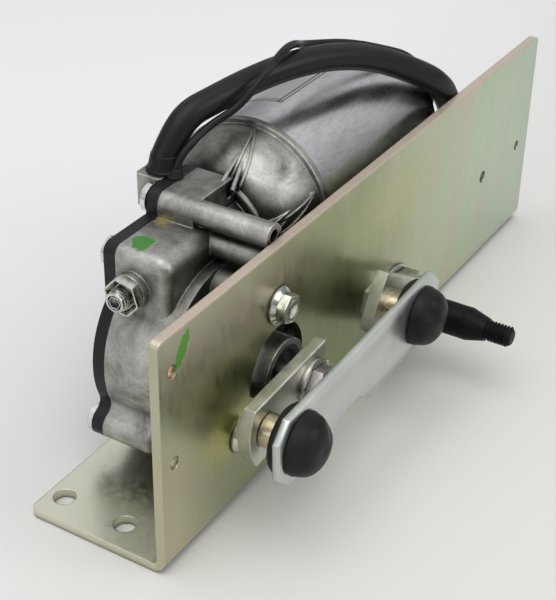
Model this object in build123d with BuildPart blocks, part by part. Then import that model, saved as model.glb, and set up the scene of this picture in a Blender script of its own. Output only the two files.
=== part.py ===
from build123d import *
import math
import os

# A wiper motor on its bracket. It stands on its foot: x runs along the plate, +y goes from the
# plate back to the motor, z is up. The origin is the middle of the four foot holes, underneath.
# All sizes are in millimetres.

# ------------------------------------------------------------------ clearances
running_gap = 0.05          # radial, shaft in bush
seat_gap = 0.03             # radial, a fixed piece in its hole
sliding_gap = 0.3           # between flat faces that move past each other
ball_gap = 0.05             # radial, ball in its cup

# ------------------------------------------------------------------ bracket
plate_length = 300.0
plate_height = 95.0
plate_thickness = 3.5
foot_depth = 59.0
bend_inner = 2.5
plate_corner = 3.0
foot_hole_radius = 4.2
foot_hole_inset = 11.0       # from each end of the foot to its holes
foot_hole_spacing_y = 27.0
foot_front_row = 25.0       # from the plate's front face to the nearer row of holes
small_hole_radius = 2.4
small_hole_z = 44.5
upper_hole_z = 81.0
left_hole_inset = 7.5
right_hole_inset = 12.5
inner_hole_inset = 50.8
inner_hole_radius = 2.8

foot_hole_spacing_x = plate_length - 2 * foot_hole_inset
plate_left = -plate_length / 2
plate_right = plate_length / 2
plate_front_y = -(foot_front_row + foot_hole_spacing_y / 2)
plate_rear_y = plate_front_y + plate_thickness

# ------------------------------------------------------------------ gear train
hub_from_left = 71.5        # from the plate's left end to the output shaft
hub_x = plate_left + hub_from_left
hub_z = 44.0
wheel_teeth = 60
wheel_pitch_radius = 28.0
worm_pitch_radius = 4.9
tooth_addendum = 0.8
tooth_dedendum = 1.05
wheel_width = 7.0
wheel_hub_radius = 11.0
wheel_rim_inner = 22.5
backlash = 0.3
flank_slope = math.tan(math.radians(17))
worm_turns = 9
motor_y = 4.8
motor_z = hub_z + wheel_pitch_radius + worm_pitch_radius
worm_pitch = 2 * math.pi * wheel_pitch_radius / wheel_teeth
worm_lead_angle = math.degrees(math.atan(worm_pitch / (2 * math.pi * worm_pitch_radius)))

# ------------------------------------------------------------------ gear housing
cover_face_y = motor_y + 7.4    # where the rear cover meets the casting
bowl_radius = 35.6
bowl_depth = 26.7
bowl_wall = 4.2
block_reach = 26.0          # from the output shaft to the block's left face
block_width = 53.0
block_step = 25.5           # from the block's left face to its higher part
block_low_rise = 14.4       # from the motor's axis to the lower top
block_high_rise = 23.4
block_depth = 22.3
block_high_depth = 15.2
block_corner = 2.5
block_end_corner = 4.0
block_top_round = 6.0
block_hole_radius = 1.4
ear_radius = 5.6
ear_blend = 4.0
ear_spread = 33.0           # sideways from the hub to each lower ear
ear_drop = 23.8
boss_radius = 12.9          # output boss that comes through the plate
boss_front_y = plate_front_y - 3.2
hub_hole_radius = 18.2
leg_radius = 7.2
leg_circle = 27.5
leg_angles = (90, 210, 330)
pillar_radius = 4.7
pillar_bore = 2.6
pillar_front_y = plate_rear_y + 1.2
lower_pillar_drop = 10.6
neck_radius = 14.6
neck_overlap = 7.5          # how far the whole neck starts inside the block
collar_radius = 18.4
collar_round = 1.4
bell_length = 25.9
bell_rim_radius = 34.4
bell_rim_width = 2.8
bell_depth = 18.4
rib_thickness = 1.2
rib_angles = (325, 25, 85)  # round the motor's axis, from straight ahead going up
screw_boss_radius = 7.0
screw_boss_height = 3.3

bowl_front_y = cover_face_y - bowl_depth
block_left = hub_x - block_reach
block_right = block_left + block_width
block_step_x = block_left + block_step
block_low_top = motor_z + block_low_rise
block_high_top = motor_z + block_high_rise
block_bottom = hub_z + bowl_radius / 2
block_front_y = cover_face_y - block_depth
block_high_front_y = cover_face_y - block_high_depth
screw_boss_left = block_left - screw_boss_height
neck_left = block_right - neck_overlap
bell_left = block_right
shoulder_left = block_step_x + 2 * pillar_radius - 1
bell_rim_x = bell_left + bell_length    # where the motor can starts

# ------------------------------------------------------------------ rear cover
cover_rim = 5.1
cover_rise = 5.0
cover_wall = 2.4
cover_inset = 11.0          # from the cover's edge to its raised part
cover_screw_radius = 2.0
cover_screw_head = 5.4
screw_head_height = 2.2

# ------------------------------------------------------------------ motor
can_radius = 33.7
can_length = 95.1
can_wall = 2.0
can_step = 3.0
shaft_radius = 4.0
magnet_thickness = 6.37
magnet_gap = 0.7
magnet_arc = 130
core_from_rim = 23.6
core_length = 40.0
core_slots = 12
label_from_rim = 18.6
label_length = 45.0
label_thickness = 0.25
label_gap = 0.05
end_bush_outer = 9.0
label_arc = 55
commutator_radius = 10.5
commutator_from_core = 34.0
commutator_length = 17.0
brush_width = 5.0
bearing_outer = 11.0
bearing_width = 7.0
set_screw_radius = 3.55
set_screw_reach = 11.0
lock_nut_flats = 13.0
lock_nut_height = 4.0

can_end_x = bell_rim_x + can_length
can_inner = can_radius - can_wall
magnet_inner = can_inner - seat_gap - magnet_thickness
core_radius = magnet_inner - magnet_gap
core_left = bell_rim_x + core_from_rim
label_left = bell_rim_x + label_from_rim
commutator_left = core_left - commutator_from_core
bearing_left = neck_left + 1.5
set_screw_end_x = block_left - set_screw_reach

# ------------------------------------------------------------------ output shaft and crank
output_radius = 5.0
output_rear_y = cover_face_y - 1.8
bush_outer = 7.5
bush_length = 9.0
seal_depth = 4.2
park_disc_thickness = 0.6
park_ring_outer = 20.0
park_ring_inner = 13.0
arm_thickness = 5.0
arm_width = 24.0
arm_overhang = 10.4
arm_rear_y = plate_front_y - 9.5
arm_front_y = arm_rear_y - arm_thickness
crank_radius = 30.4
crank_angle = 183.0
crank_washer_radius = 9.2
crank_washer_height = 1.5
crank_nut_flats = 13.0
crank_nut_height = 4.6
thread_radius = 4.0

# ------------------------------------------------------------------ spindle and its pivot
spindle_from_hub = 90.5
spindle_x = hub_x + spindle_from_hub
spindle_z = 26.0
spindle_radius = 6.0
spindle_nose_radius = 6.8
pivot_tube_radius = 9.5
pivot_flange_radius = 15.0
pivot_flange_height = 4.0
pivot_rear_y = -3.0
pivot_washer_radius = 15.0
pivot_washer_height = 1.3
pivot_nut_flats = 25.0
pivot_nut_height = 7.4
rocker_angle = 149.1
rocker_radius = 37.0
spindle_cone_y = plate_front_y - 35.9
spindle_thread_y = plate_front_y - 43.8
spindle_end_y = plate_front_y - 54.6

# ------------------------------------------------------------------ ball joints and link
link_thickness = 3.0
link_rear_y = plate_front_y - 25.0
link_front_y = link_rear_y - link_thickness
ball_radius = 6.5
ball_y = link_rear_y - 1.2
stud_collar_radius = 6.3
stud_neck_radius = 4.2
stud_tail_radius = 4.5
stud_tail_head = 8.0
stud_tail_height = 3.0
cup_outer = 8.6
cup_rear_y = link_rear_y + 2.4
cup_front_y = ball_y - ball_radius - 1.5
seal_radius = 13.0
seal_thickness = 3.2
seal_lip_radius = 5.8
seal_rear_y = link_rear_y + seal_thickness
cap_radius = 13.3
cap_height = 12.6
link_width = 28.0
link_overhang = 16.2
link_chamfer = 6.5
scoop_start = 19.0
scoop_end = 48.0
scoop_depth = 6.0

# ------------------------------------------------------------------ mounting bolts
bolt_radius = 3.0
bolt_flange_radius = 7.2
bolt_flats = 10.0
bolt_head_height = 5.8

# ------------------------------------------------------------------ harness
sleeve_diameter = 10.8
wires_diameter = 3.0
sleeve_route = [
    (-61.9, 21.1, 104.8), (-58, 19.8, 112.2), (-51, 17.6, 119.6), (-41, 14.2, 121.6), (-26, 8.8, 124.6),
    (-8, 2.3, 126.4), (12, -5, 125.2), (32, -12.6, 119.8), (48, -20.4, 111.6), (64, -29.3, 101.3),
    (75.5, -29.3, 87.5), (88, -29, 70), (97, -26, 50), (98, -16, 30), (88, -2, 15.5), (70, 7.5, 9.1),
    (50, 10, 8.9), (30, 9.6, 8.9),
]
wires_route = [
    (-54.8, 15.6, 103.3), (-52.2, 13, 107.8), (-45.6, 8.4, 114.2), (-39.6, 4.6, 119.8), (-34.2, 0.6, 126.6),
    (-26.5, -1.8, 133), (-15, -1.2, 136.6), (-3.5, 1.5, 134.2), (7, 4.6, 129.6), (20, 4.8, 125.6),
    (35, 0, 122.2), (51, -7, 116), (66, -15, 109), (79, -19.5, 92), (82, -17, 68), (84, -4, 44),
    (82, 12, 22), (69, 19, 5.8), (49, 18.6, 5.2), (30, 17.8, 5.2),
]
gland_radius = 6.3
gland_height = 1.0
gland_rise = 0.7            # from the casting's top to the gland
relief_taper = 12
gland_block_left = block_left + 34.3
gland_block_width = 15.7
gland_block_height = 13.0
connector_length = 34.0
connector_depth = 22.0
connector_height = 14.0

output_axis = Axis((hub_x, 0, hub_z), (0, 1, 0))
motor_axis = Axis((0, motor_y, motor_z), (1, 0, 0))
spindle_axis = Axis((spindle_x, 0, spindle_z), (0, 1, 0))


def along(origin, angle, distance):
    """A point in the plate's plane, at a distance and an angle from another."""
    turn = math.radians(angle)
    return (origin[0] + distance * math.cos(turn), origin[1] + distance * math.sin(turn))


hub = (hub_x, hub_z)
spindle = (spindle_x, spindle_z)
crank_ball = along(hub, crank_angle, crank_radius)
rocker_ball = along(spindle, rocker_angle, rocker_radius)
link_length = math.dist(crank_ball, rocker_ball)
link_angle = math.degrees(math.atan2(rocker_ball[1] - crank_ball[1], rocker_ball[0] - crank_ball[0]))
left_ear = (hub_x - ear_spread, hub_z - ear_drop)
right_ear = (hub_x + ear_spread, hub_z - ear_drop)
pillar = (block_step_x + pillar_radius, block_high_top - pillar_radius)
lower_pillar = (pillar[0], pillar[1] - lower_pillar_drop)
corner_screw = (block_left + 6.5, block_low_top - 6.5)
cover_screws_at = (left_ear, right_ear, pillar, corner_screw)
block_hole = (block_right - 4.3, block_high_top - 6.0)
gland_top = block_high_top + gland_rise
gland_at = (-63.9, 21.7)
wires_exit = (-56.1, 16.9)


def facing_front(y):
    """A plane across the part at y, whose sketch shows x and z and whose normal is -y."""
    return Plane.XZ.offset(-y)


def across_motor(x):
    """A plane across the motor at x, with its middle on the motor's axis."""
    return Plane(origin=(x, motor_y, motor_z), x_dir=(0, 1, 0), z_dir=(1, 0, 0))


def turned_about_output(at, profile):
    """A closed profile of (radius, y) points, ready to revolve about a line along y."""
    with BuildSketch(Plane.XY.offset(at[1])) as face:
        with BuildLine():
            Polyline(*[(at[0] + radius, y) for radius, y in profile], close=True)
        make_face()
    return face.sketch


def turned_about_motor(profile):
    """A closed profile of (x, radius) points, ready to revolve about the motor's axis."""
    with BuildSketch(Plane.XY.offset(motor_z)) as face:
        with BuildLine():
            Polyline(*[(x, motor_y + radius) for x, radius in profile], close=True)
        make_face()
    return face.sketch


def line_along_y(at):
    return Axis((at[0], 0, at[1]), (0, 1, 0))


def round_motor(x, radius, angle):
    """A point round the motor's axis, at an angle from straight ahead going up."""
    turn = math.radians(angle)
    return (x, motor_y - radius * math.cos(turn), motor_z + radius * math.sin(turn))


def housing_outline():
    """The edge of the casting where the rear cover lies on it."""
    with BuildSketch(facing_front(cover_face_y)) as edge:
        with Locations(hub):
            Circle(bowl_radius)
        with Locations((block_left, block_bottom)):
            Rectangle(block_width, block_low_top - block_bottom, align=(Align.MIN, Align.MIN))
        with Locations((block_step_x, block_bottom)):
            Rectangle(block_width - block_step, block_high_top - block_bottom, align=(Align.MIN, Align.MIN))
        with Locations(left_ear, right_ear):
            Circle(ear_radius)
        meetings = [
            at for at in edge.vertices()
            if abs(math.dist((at.X, at.Y), hub) - bowl_radius) < 0.01 and abs(at.Y - hub_z) > 1
        ]
        fillet(meetings, ear_blend)
        fillet(edge.vertices().sort_by_distance((block_step_x, block_high_top))[0], pillar_radius)
        fillet(edge.vertices().sort_by_distance((block_right, block_high_top))[0], block_corner)
    return edge.sketch


# ================================================================== bracket
with BuildPart() as bracket:
    with BuildSketch(Plane.YZ.offset(plate_left)):
        with BuildLine():
            Polyline(
                (plate_front_y, 0),
                (plate_front_y + foot_depth, 0),
                (plate_front_y + foot_depth, plate_thickness),
                (plate_rear_y, plate_thickness),
                (plate_rear_y, plate_height),
                (plate_front_y, plate_height),
                close=True,
            )
        make_face()
    extrude(amount=plate_length)
    along_plate = bracket.edges().filter_by(Axis.X)
    fillet(along_plate.sort_by_distance((0, plate_front_y, 0))[0], bend_inner + plate_thickness)
    inner_bend = bracket.edges().filter_by(Axis.X).sort_by_distance((0, plate_rear_y, plate_thickness))[0]
    fillet(inner_bend, bend_inner)
    fillet(bracket.edges().filter_by(Axis.Y).group_by(Axis.Z)[-1], plate_corner)
    fillet(bracket.edges().filter_by(Axis.Z).group_by(Axis.Y)[-1], plate_corner)
    with BuildSketch(facing_front(plate_rear_y)):
        with Locations(hub):
            Circle(hub_hole_radius)
        with Locations(*[along(hub, angle, leg_circle) for angle in leg_angles]):
            Circle(bolt_radius + sliding_gap)
        with Locations(spindle):
            Circle(pivot_tube_radius + sliding_gap)
        with Locations(
            (plate_left + left_hole_inset, upper_hole_z),
            (plate_left + left_hole_inset, small_hole_z),
            (plate_right - right_hole_inset, small_hole_z),
        ):
            Circle(small_hole_radius)
        with Locations((plate_right - inner_hole_inset, small_hole_z)):
            Circle(inner_hole_radius)
    extrude(amount=plate_thickness, mode=Mode.SUBTRACT)
    with BuildSketch(Plane.XY):
        with GridLocations(foot_hole_spacing_x, foot_hole_spacing_y, 2, 2):
            Circle(foot_hole_radius)
    extrude(amount=plate_thickness, mode=Mode.SUBTRACT)

# ================================================================== gear housing
bowl_floor_y = bowl_front_y + bowl_wall
bore_radius = bush_outer + seat_gap
worm_room_front_y = motor_y - 8.2
worm_room_left = block_left + 6.0
worm_room_right = bearing_left
worm_room_half = 8.5
plate_seat_x = bell_rim_x - 15.4
plate_seat_radius = 26.5


def on_bell(back, radius):
    """A point of the bell's section, by its distance back from the rim and out from the axis."""
    return (bell_rim_x - back, motor_y + radius)


def bell_section():
    """Half of the bell's section: a domed shoulder behind a low rim."""
    shoulder = bell_rim_radius - 1.8
    with BuildSketch(Plane.XY.offset(motor_z)) as section:
        with BuildLine():
            Polyline(on_bell(bell_length - 0.5, bell_rim_radius - 16.4), on_bell(bell_length - 0.5, 0),
                     on_bell(0, 0), on_bell(0, bell_rim_radius), on_bell(bell_rim_width, bell_rim_radius),
                     on_bell(bell_rim_width + 0.6, shoulder))
            ThreePointArc(on_bell(bell_rim_width + 0.6, shoulder), on_bell(12.6, shoulder - 1.9),
                          on_bell(20.0, shoulder - 5.2))
            ThreePointArc(on_bell(20.0, shoulder - 5.2), on_bell(23.9, shoulder - 9.2),
                          on_bell(bell_length - 0.5, bell_rim_radius - 16.4))
        make_face()
    return section.sketch


with BuildPart() as gear_housing:
    # the block round the worm, the bowl round the wheel and the ears that the cover screws to
    extrude(housing_outline(), amount=block_depth)
    with BuildSketch(facing_front(block_high_front_y)):
        with Locations((block_step_x - 1, block_low_top)):
            Rectangle(block_width, block_high_top, align=(Align.MIN, Align.MIN))
    extrude(amount=block_depth, mode=Mode.SUBTRACT)
    fillet(gear_housing.edges().filter_by(Axis.X).sort_by_distance((hub_x, block_front_y, block_low_top))[0],
           block_top_round)
    fillet(gear_housing.edges().sort_by_distance((block_left, block_front_y, motor_z))[0], block_end_corner)
    with BuildSketch(facing_front(cover_face_y)):
        with Locations(hub):
            Circle(bowl_radius)
    extrude(amount=bowl_depth)
    # output boss, the three legs to the plate and the ribs between them
    with BuildSketch(facing_front(bowl_front_y + bowl_wall)):
        with Locations(hub):
            Circle(boss_radius)
    extrude(amount=bowl_front_y + bowl_wall - boss_front_y)
    with BuildSketch(facing_front(bowl_front_y + bowl_wall)):
        with Locations(*[along(hub, angle, leg_circle) for angle in leg_angles]):
            Circle(leg_radius)
    extrude(amount=bowl_front_y + bowl_wall - plate_rear_y)
    with BuildSketch(facing_front(bowl_front_y + 1)):
        with Locations(hub):
            with PolarLocations(0, 6, start_angle=leg_angles[0]):
                with Locations((leg_circle / 2 + 2, 0)):
                    Rectangle(leg_circle, 3.0)
    extrude(amount=9.0)
    # the neck grows out of the block, half of it first
    with BuildSketch(Plane.YZ.offset(shoulder_left)):
        with Locations((block_front_y, motor_z)):
            Rectangle(block_high_front_y - block_front_y, block_low_rise, align=(Align.MIN, Align.MIN))
    extrude(amount=block_right - shoulder_left, mode=Mode.SUBTRACT)
    with BuildSketch(across_motor(shoulder_left)):
        Circle(neck_radius)
        with Locations((cover_face_y - motor_y, 0)):
            Rectangle(2 * neck_radius, 2 * neck_radius, align=(Align.MAX, Align.CENTER), mode=Mode.INTERSECT)
    extrude(amount=neck_left - shoulder_left)
    # two pillars that run from the block to the plate
    with BuildSketch(facing_front(block_high_front_y)):
        with Locations(pillar, lower_pillar):
            Circle(pillar_radius)
    extrude(amount=block_high_front_y - pillar_front_y)
    # pairs of thin ribs that run from the bell's shoulder back to the block
    for angle in rib_angles:
        rib_tip = round_motor(bell_rim_x - 5.9, bell_rim_radius - 1.8, angle)
        for spread in (10, 22):
            rib_base = round_motor(bell_left - 6.5, bell_rim_radius - 10.4, angle - spread)
            rib_root = round_motor(bell_left + 3, 8, angle - spread / 2)
            rib = Face(Wire.make_polygon([rib_tip, rib_base, rib_root]))
            thicken(rib, amount=rib_thickness / 2, both=True)
    # the whole neck, its collar and the bell
    with BuildSketch(across_motor(neck_left)):
        Circle(neck_radius)
    extrude(amount=bell_left - neck_left + 6)
    revolve(bell_section(), axis=motor_axis)
    with BuildSketch(Plane.XY.offset(motor_z)):
        with Locations((bell_left + 0.5, motor_y + collar_radius)):
            Circle(collar_round)
    revolve(axis=motor_axis)
    # boss of the set screw
    with BuildSketch(across_motor(screw_boss_left)):
        Circle(screw_boss_radius)
    extrude(amount=block_left - screw_boss_left + 6)

    # room for the wheel and the worm, open towards the cover
    with BuildSketch(facing_front(cover_face_y)):
        with Locations(hub):
            Circle(bowl_radius - bowl_wall)
    extrude(amount=cover_face_y - bowl_floor_y, mode=Mode.SUBTRACT)
    with BuildSketch(facing_front(cover_face_y)):
        with Locations((worm_room_left, hub_z + 15)):
            Rectangle(
                worm_room_right - worm_room_left, motor_z + worm_room_half - hub_z - 15,
                align=(Align.MIN, Align.MIN),
            )
    extrude(amount=cover_face_y - worm_room_front_y, mode=Mode.SUBTRACT)
    # bores along the motor's axis
    with BuildSketch(across_motor(worm_room_left)):
        Circle(set_screw_radius + seat_gap)
    extrude(amount=screw_boss_left - worm_room_left, mode=Mode.SUBTRACT)
    with BuildSketch(across_motor(worm_room_right)):
        Circle(bearing_outer + seat_gap)
    extrude(amount=bearing_width + 0.1, mode=Mode.SUBTRACT)
    with BuildSketch(across_motor(worm_room_right)):
        Circle(shaft_radius + 2)
    extrude(amount=40, mode=Mode.SUBTRACT)
    revolve(
        turned_about_motor([
            (bell_rim_x - bell_depth, 0), (bell_rim_x - bell_depth, plate_seat_radius - 3.5),
            (plate_seat_x, plate_seat_radius), (plate_seat_x + 4.5, plate_seat_radius + 1.7),
            (bell_rim_x, plate_seat_radius + 3.9), (bell_rim_x, 0),
        ]),
        axis=motor_axis,
        mode=Mode.SUBTRACT,
    )
    # bores along the output axis, the legs' tapped holes and the cover's screw holes
    with BuildSketch(facing_front(bowl_floor_y)):
        with Locations(hub):
            Circle(bore_radius)
    extrude(amount=bowl_floor_y - boss_front_y, mode=Mode.SUBTRACT)
    with BuildSketch(facing_front(boss_front_y + seal_depth)):
        with Locations(hub):
            Circle(boss_radius - 2.2)
    extrude(amount=seal_depth, mode=Mode.SUBTRACT)
    with BuildSketch(facing_front(plate_rear_y + 14)):
        with Locations(*[along(hub, angle, leg_circle) for angle in leg_angles]):
            Circle(bolt_radius + seat_gap)
    extrude(amount=14, mode=Mode.SUBTRACT)
    with BuildSketch(facing_front(cover_face_y)):
        with Locations(*cover_screws_at):
            Circle(cover_screw_radius + seat_gap)
    extrude(amount=13, mode=Mode.SUBTRACT)
    with BuildSketch(facing_front(pillar_front_y + 12)):
        with Locations(pillar):
            Circle(pillar_bore)
    extrude(amount=12, mode=Mode.SUBTRACT)
    with BuildSketch(facing_front(block_high_front_y)):
        with Locations(block_hole):
            Circle(block_hole_radius)
    extrude(amount=-8, mode=Mode.SUBTRACT)

# ================================================================== rear cover
def gland_outline(z):
    """The gland's foot: round under the sleeve, with a lobe under the thin wires."""
    with BuildSketch(Plane.XY.offset(z)) as outline:
        with Locations(gland_at):
            Circle(gland_radius)
        with Locations(wires_exit):
            Circle(wires_diameter)
        with Locations(((gland_at[0] + wires_exit[0]) / 2, (gland_at[1] + wires_exit[1]) / 2)):
            Rectangle(wires_diameter * 3, wires_diameter * 2)
    return outline.sketch


rim_rear_y = cover_face_y + cover_rim
cover_rear_y = rim_rear_y + cover_rise
cover_room_radius = bowl_radius - cover_inset - cover_wall

with BuildPart() as rear_cover:
    extrude(housing_outline(), amount=-cover_rim)
    low_corner = (block_left, cover_face_y, block_low_top)
    fillet(rear_cover.edges().filter_by(Axis.Y).sort_by_distance(low_corner)[0], block_end_corner)
    with BuildSketch(facing_front(rim_rear_y)):
        with Locations(hub):
            Circle(bowl_radius - cover_inset)
        with Locations((block_left + cover_inset + 3, block_bottom)):
            Rectangle(block_width - 2 * cover_inset, block_low_top - block_bottom - cover_inset + 2,
                      align=(Align.MIN, Align.MIN))
    extrude(amount=-cover_rise)
    fillet(rear_cover.faces().sort_by(Axis.Y)[-1].outer_wire().edges(), 1.5)
    with BuildSketch(facing_front(cover_face_y)):
        with Locations(hub):
            Circle(bowl_radius - bowl_wall)
    extrude(amount=-(cover_rim - cover_wall), mode=Mode.SUBTRACT)
    with BuildSketch(facing_front(cover_face_y)):
        with Locations(hub):
            Circle(cover_room_radius)
    extrude(amount=-(cover_rim + cover_rise - cover_wall), mode=Mode.SUBTRACT)
    with BuildSketch(facing_front(cover_face_y)):
        with Locations(*cover_screws_at):
            Circle(cover_screw_radius + sliding_gap)
    extrude(amount=-cover_rim, mode=Mode.SUBTRACT)
    # notched round the casting's neck, collar and bell
    revolve(
        turned_about_motor([
            (neck_left - 0.3, 0), (neck_left - 0.3, neck_radius + 0.4), (bell_left - 2.4, neck_radius + 0.4),
            (bell_left - 2.4, collar_radius + 1.8), (bell_left + 0.3, collar_radius + 2.8),
            (bell_left + 1.9, bell_rim_radius - 9.8), (bell_left + 5.5, bell_rim_radius - 6.2),
            (bell_left + 9.5, bell_rim_radius - 4.2), (bell_left + 21.5, bell_rim_radius + 0.4),
            (bell_left + 21.5, 0),
        ]),
        axis=motor_axis,
        mode=Mode.SUBTRACT,
    )

# a block on the cover's back, under the cables
with BuildPart() as gland_block:
    with BuildSketch(facing_front(rim_rear_y)):
        with Locations((gland_block_left, gland_top)):
            Rectangle(gland_block_width, gland_block_height, align=(Align.MIN, Align.MAX))
    extrude(amount=-(gland_at[1] + gland_radius + 0.2 - rim_rear_y))
    fillet(gland_block.edges().filter_by(Axis.Z), 1.5)
    with BuildSketch(facing_front(rim_rear_y)):
        with Locations(pillar):
            Circle(cover_screw_head + sliding_gap)
    extrude(amount=-(screw_head_height + sliding_gap), mode=Mode.SUBTRACT)

with BuildPart() as cover_screws:
    with BuildSketch(facing_front(rim_rear_y + screw_head_height)):
        with Locations(*cover_screws_at):
            Circle(cover_screw_head)
    extrude(amount=screw_head_height)
    with BuildSketch(facing_front(rim_rear_y)):
        with Locations(*cover_screws_at):
            Circle(cover_screw_radius)
    extrude(amount=cover_rim + 9)

def start_plane(route):
    """The plane where a tube starts, facing along its first run."""
    return Plane(origin=route[0], z_dir=Vector(*route[1]) - Vector(*route[0]))


with BuildPart() as cable_gland:
    # tapered strain reliefs that end where the tubes start, cut level where they sit on the block
    for route, diameter in ((sleeve_route, sleeve_diameter), (wires_route, wires_diameter)):
        with BuildSketch(start_plane(route)):
            Circle(diameter / 2 + 0.2)
        extrude(amount=-3 * gland_radius / 2, taper=-relief_taper)
    extrude(gland_outline(gland_top), amount=gland_height)
    split(bisect_by=Plane.XY.offset(gland_top), keep=Keep.TOP)

# ================================================================== motor case
with BuildPart() as motor_can:
    revolve(
        turned_about_motor([
            (bell_rim_x, can_inner), (bell_rim_x, can_radius), (can_end_x - can_step, can_radius),
            (can_end_x - can_step, can_radius - 1.0), (can_end_x, can_radius - 3.0),
            (can_end_x, end_bush_outer + 3), (can_end_x + 4.5, end_bush_outer + 1.5), (can_end_x + 4.5, 0),
            (can_end_x + 2.7, 0), (can_end_x + 2.7, end_bush_outer), (can_end_x - can_wall, end_bush_outer),
            (can_end_x - can_wall, can_inner - 3.0),
            (can_end_x - can_wall - 3.0, can_inner),
        ]),
        axis=motor_axis,
    )
    can_corner = motor_can.edges().filter_by(GeomType.CIRCLE).filter_by(
        lambda edge: abs(edge.radius - can_radius) < 0.01 and edge.center().X > 0
    )
    fillet(can_corner, 0.8)

with BuildPart() as name_label:
    with BuildSketch(across_motor(label_left)):
        Circle(can_radius + label_gap + label_thickness)
        Circle(can_radius + label_gap, mode=Mode.SUBTRACT)
        with BuildLine():
            Polyline((0, 0), (0, 2 * can_radius), (2 * can_radius, 2 * can_radius),
                     (2 * can_radius, 2 * can_radius * math.tan(math.radians(90 - label_arc))), close=True)
        make_face(mode=Mode.INTERSECT)
    extrude(amount=label_length)

with BuildPart() as magnets:
    with BuildSketch(across_motor(core_left - 4)):
        Circle(can_inner - seat_gap)
        Circle(magnet_inner, mode=Mode.SUBTRACT)
        Rectangle(2 * can_radius, 2 * can_radius * math.cos(math.radians(magnet_arc / 2)),
                  mode=Mode.SUBTRACT)
    extrude(amount=core_length + 8)

with BuildPart() as end_bush:
    revolve(
        turned_about_motor([
            (can_end_x - can_wall + 0.2, shaft_radius + running_gap),
            (can_end_x - can_wall + 0.2, end_bush_outer - seat_gap),
            (can_end_x + 2.5, end_bush_outer - seat_gap), (can_end_x + 2.5, shaft_radius + running_gap),
        ]),
        axis=motor_axis,
    )

with BuildPart() as worm_bush:
    revolve(
        turned_about_motor([
            (bearing_left + 0.1, shaft_radius + running_gap), (bearing_left + 0.1, bearing_outer),
            (bearing_left + bearing_width, bearing_outer),
            (bearing_left + bearing_width, shaft_radius + running_gap),
        ]),
        axis=motor_axis,
    )

# ------------------------------------------------------------------ end play adjuster
ball_seat_x = worm_room_left - 2.0
thrust_ball_radius = 2.4
shaft_left_x = ball_seat_x + 2 * thrust_ball_radius + running_gap

with BuildPart() as thrust_ball:
    with Locations((ball_seat_x + thrust_ball_radius, motor_y, motor_z)):
        Sphere(thrust_ball_radius)

with BuildPart() as set_screw:
    with BuildSketch(across_motor(set_screw_end_x)):
        Circle(set_screw_radius)
    extrude(amount=ball_seat_x - set_screw_end_x)
    chamfer(set_screw.edges().filter_by(GeomType.CIRCLE), 0.7)
    with BuildSketch(across_motor(set_screw_end_x)):
        RegularPolygon(2.0, 6, major_radius=False)
    extrude(amount=4, mode=Mode.SUBTRACT)

with BuildPart() as lock_nut:
    with BuildSketch(across_motor(screw_boss_left - lock_nut_height)):
        RegularPolygon(lock_nut_flats / 2, 6, major_radius=False, rotation=12)
        Circle(set_screw_radius + seat_gap, mode=Mode.SUBTRACT)
    extrude(amount=lock_nut_height)

# ------------------------------------------------------------------ brush gear
brush_mid_x = commutator_left + 8.0
brush_holder_at = commutator_radius + 8.5

with BuildPart() as brush_plate:
    with BuildSketch(across_motor(plate_seat_x + 0.1)):
        Circle(plate_seat_radius - sliding_gap)
        Circle(commutator_radius + 2, mode=Mode.SUBTRACT)
    extrude(amount=2.0)

with BuildPart() as brush_holders:
    with BuildSketch(across_motor(plate_seat_x + 2.1)):
        with Locations((brush_holder_at, 0), (-brush_holder_at, 0)):
            Rectangle(11.0, brush_width + 3.0)
            Rectangle(11.0, brush_width + 0.2, mode=Mode.SUBTRACT)
    extrude(amount=brush_mid_x + brush_width / 2 + 1 - plate_seat_x - 2.1)

with BuildPart() as brushes:
    with BuildSketch(across_motor(brush_mid_x - brush_width / 2)):
        for side in (-1, 1):
            with Locations((side * (commutator_radius + 6.0), 0)):
                Rectangle(11.6, brush_width)
        Circle(commutator_radius + running_gap, mode=Mode.SUBTRACT)
    extrude(amount=brush_width)

# ================================================================== armature
core_right = core_left + core_length
commutator_right = commutator_left + commutator_length
worm_root = worm_pitch_radius - tooth_dedendum
worm_tip = worm_pitch_radius + tooth_addendum
worm_start_x = hub_x - worm_pitch * worm_turns / 2
worm_end_x = hub_x + worm_pitch * worm_turns / 2
shaft_right_x = can_end_x + 2.4

thread_half = (worm_pitch / 2 - backlash) / 2
worm_frame = Plane(origin=(worm_start_x, motor_y, motor_z), x_dir=(0, 0, -1), z_dir=(1, 0, 0))

with BuildPart() as worm_thread:
    with BuildLine():
        Helix(pitch=worm_pitch, height=worm_pitch * worm_turns, radius=worm_pitch_radius)
    with BuildSketch(Plane.XZ):
        with BuildLine():
            Polyline(
                (worm_root - 0.3, -thread_half - flank_slope * (tooth_dedendum + 0.3)),
                (worm_tip, -thread_half + flank_slope * tooth_addendum),
                (worm_tip, thread_half - flank_slope * tooth_addendum),
                (worm_root - 0.3, thread_half + flank_slope * (tooth_dedendum + 0.3)),
                close=True,
            )
        make_face()
    sweep(is_frenet=True)

with BuildPart() as armature_shaft:
    revolve(
        turned_about_motor([
            (shaft_left_x, 0), (shaft_left_x, worm_root), (worm_end_x + 3, worm_root),
            (worm_end_x + 3, shaft_radius), (shaft_right_x, shaft_radius), (shaft_right_x, 0),
        ]),
        axis=motor_axis,
    )
    add(worm_frame.location * worm_thread.part)

core_bore = shaft_radius + seat_gap
slot_depth = 12.0
slot_width = 4.6
slot_mouth = 1.6
slot_middle = core_radius - 1.6 - slot_depth / 2
winding_gap = 0.1
winding_overhang = 9.0
winding_radius = core_radius - 3.1

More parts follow.
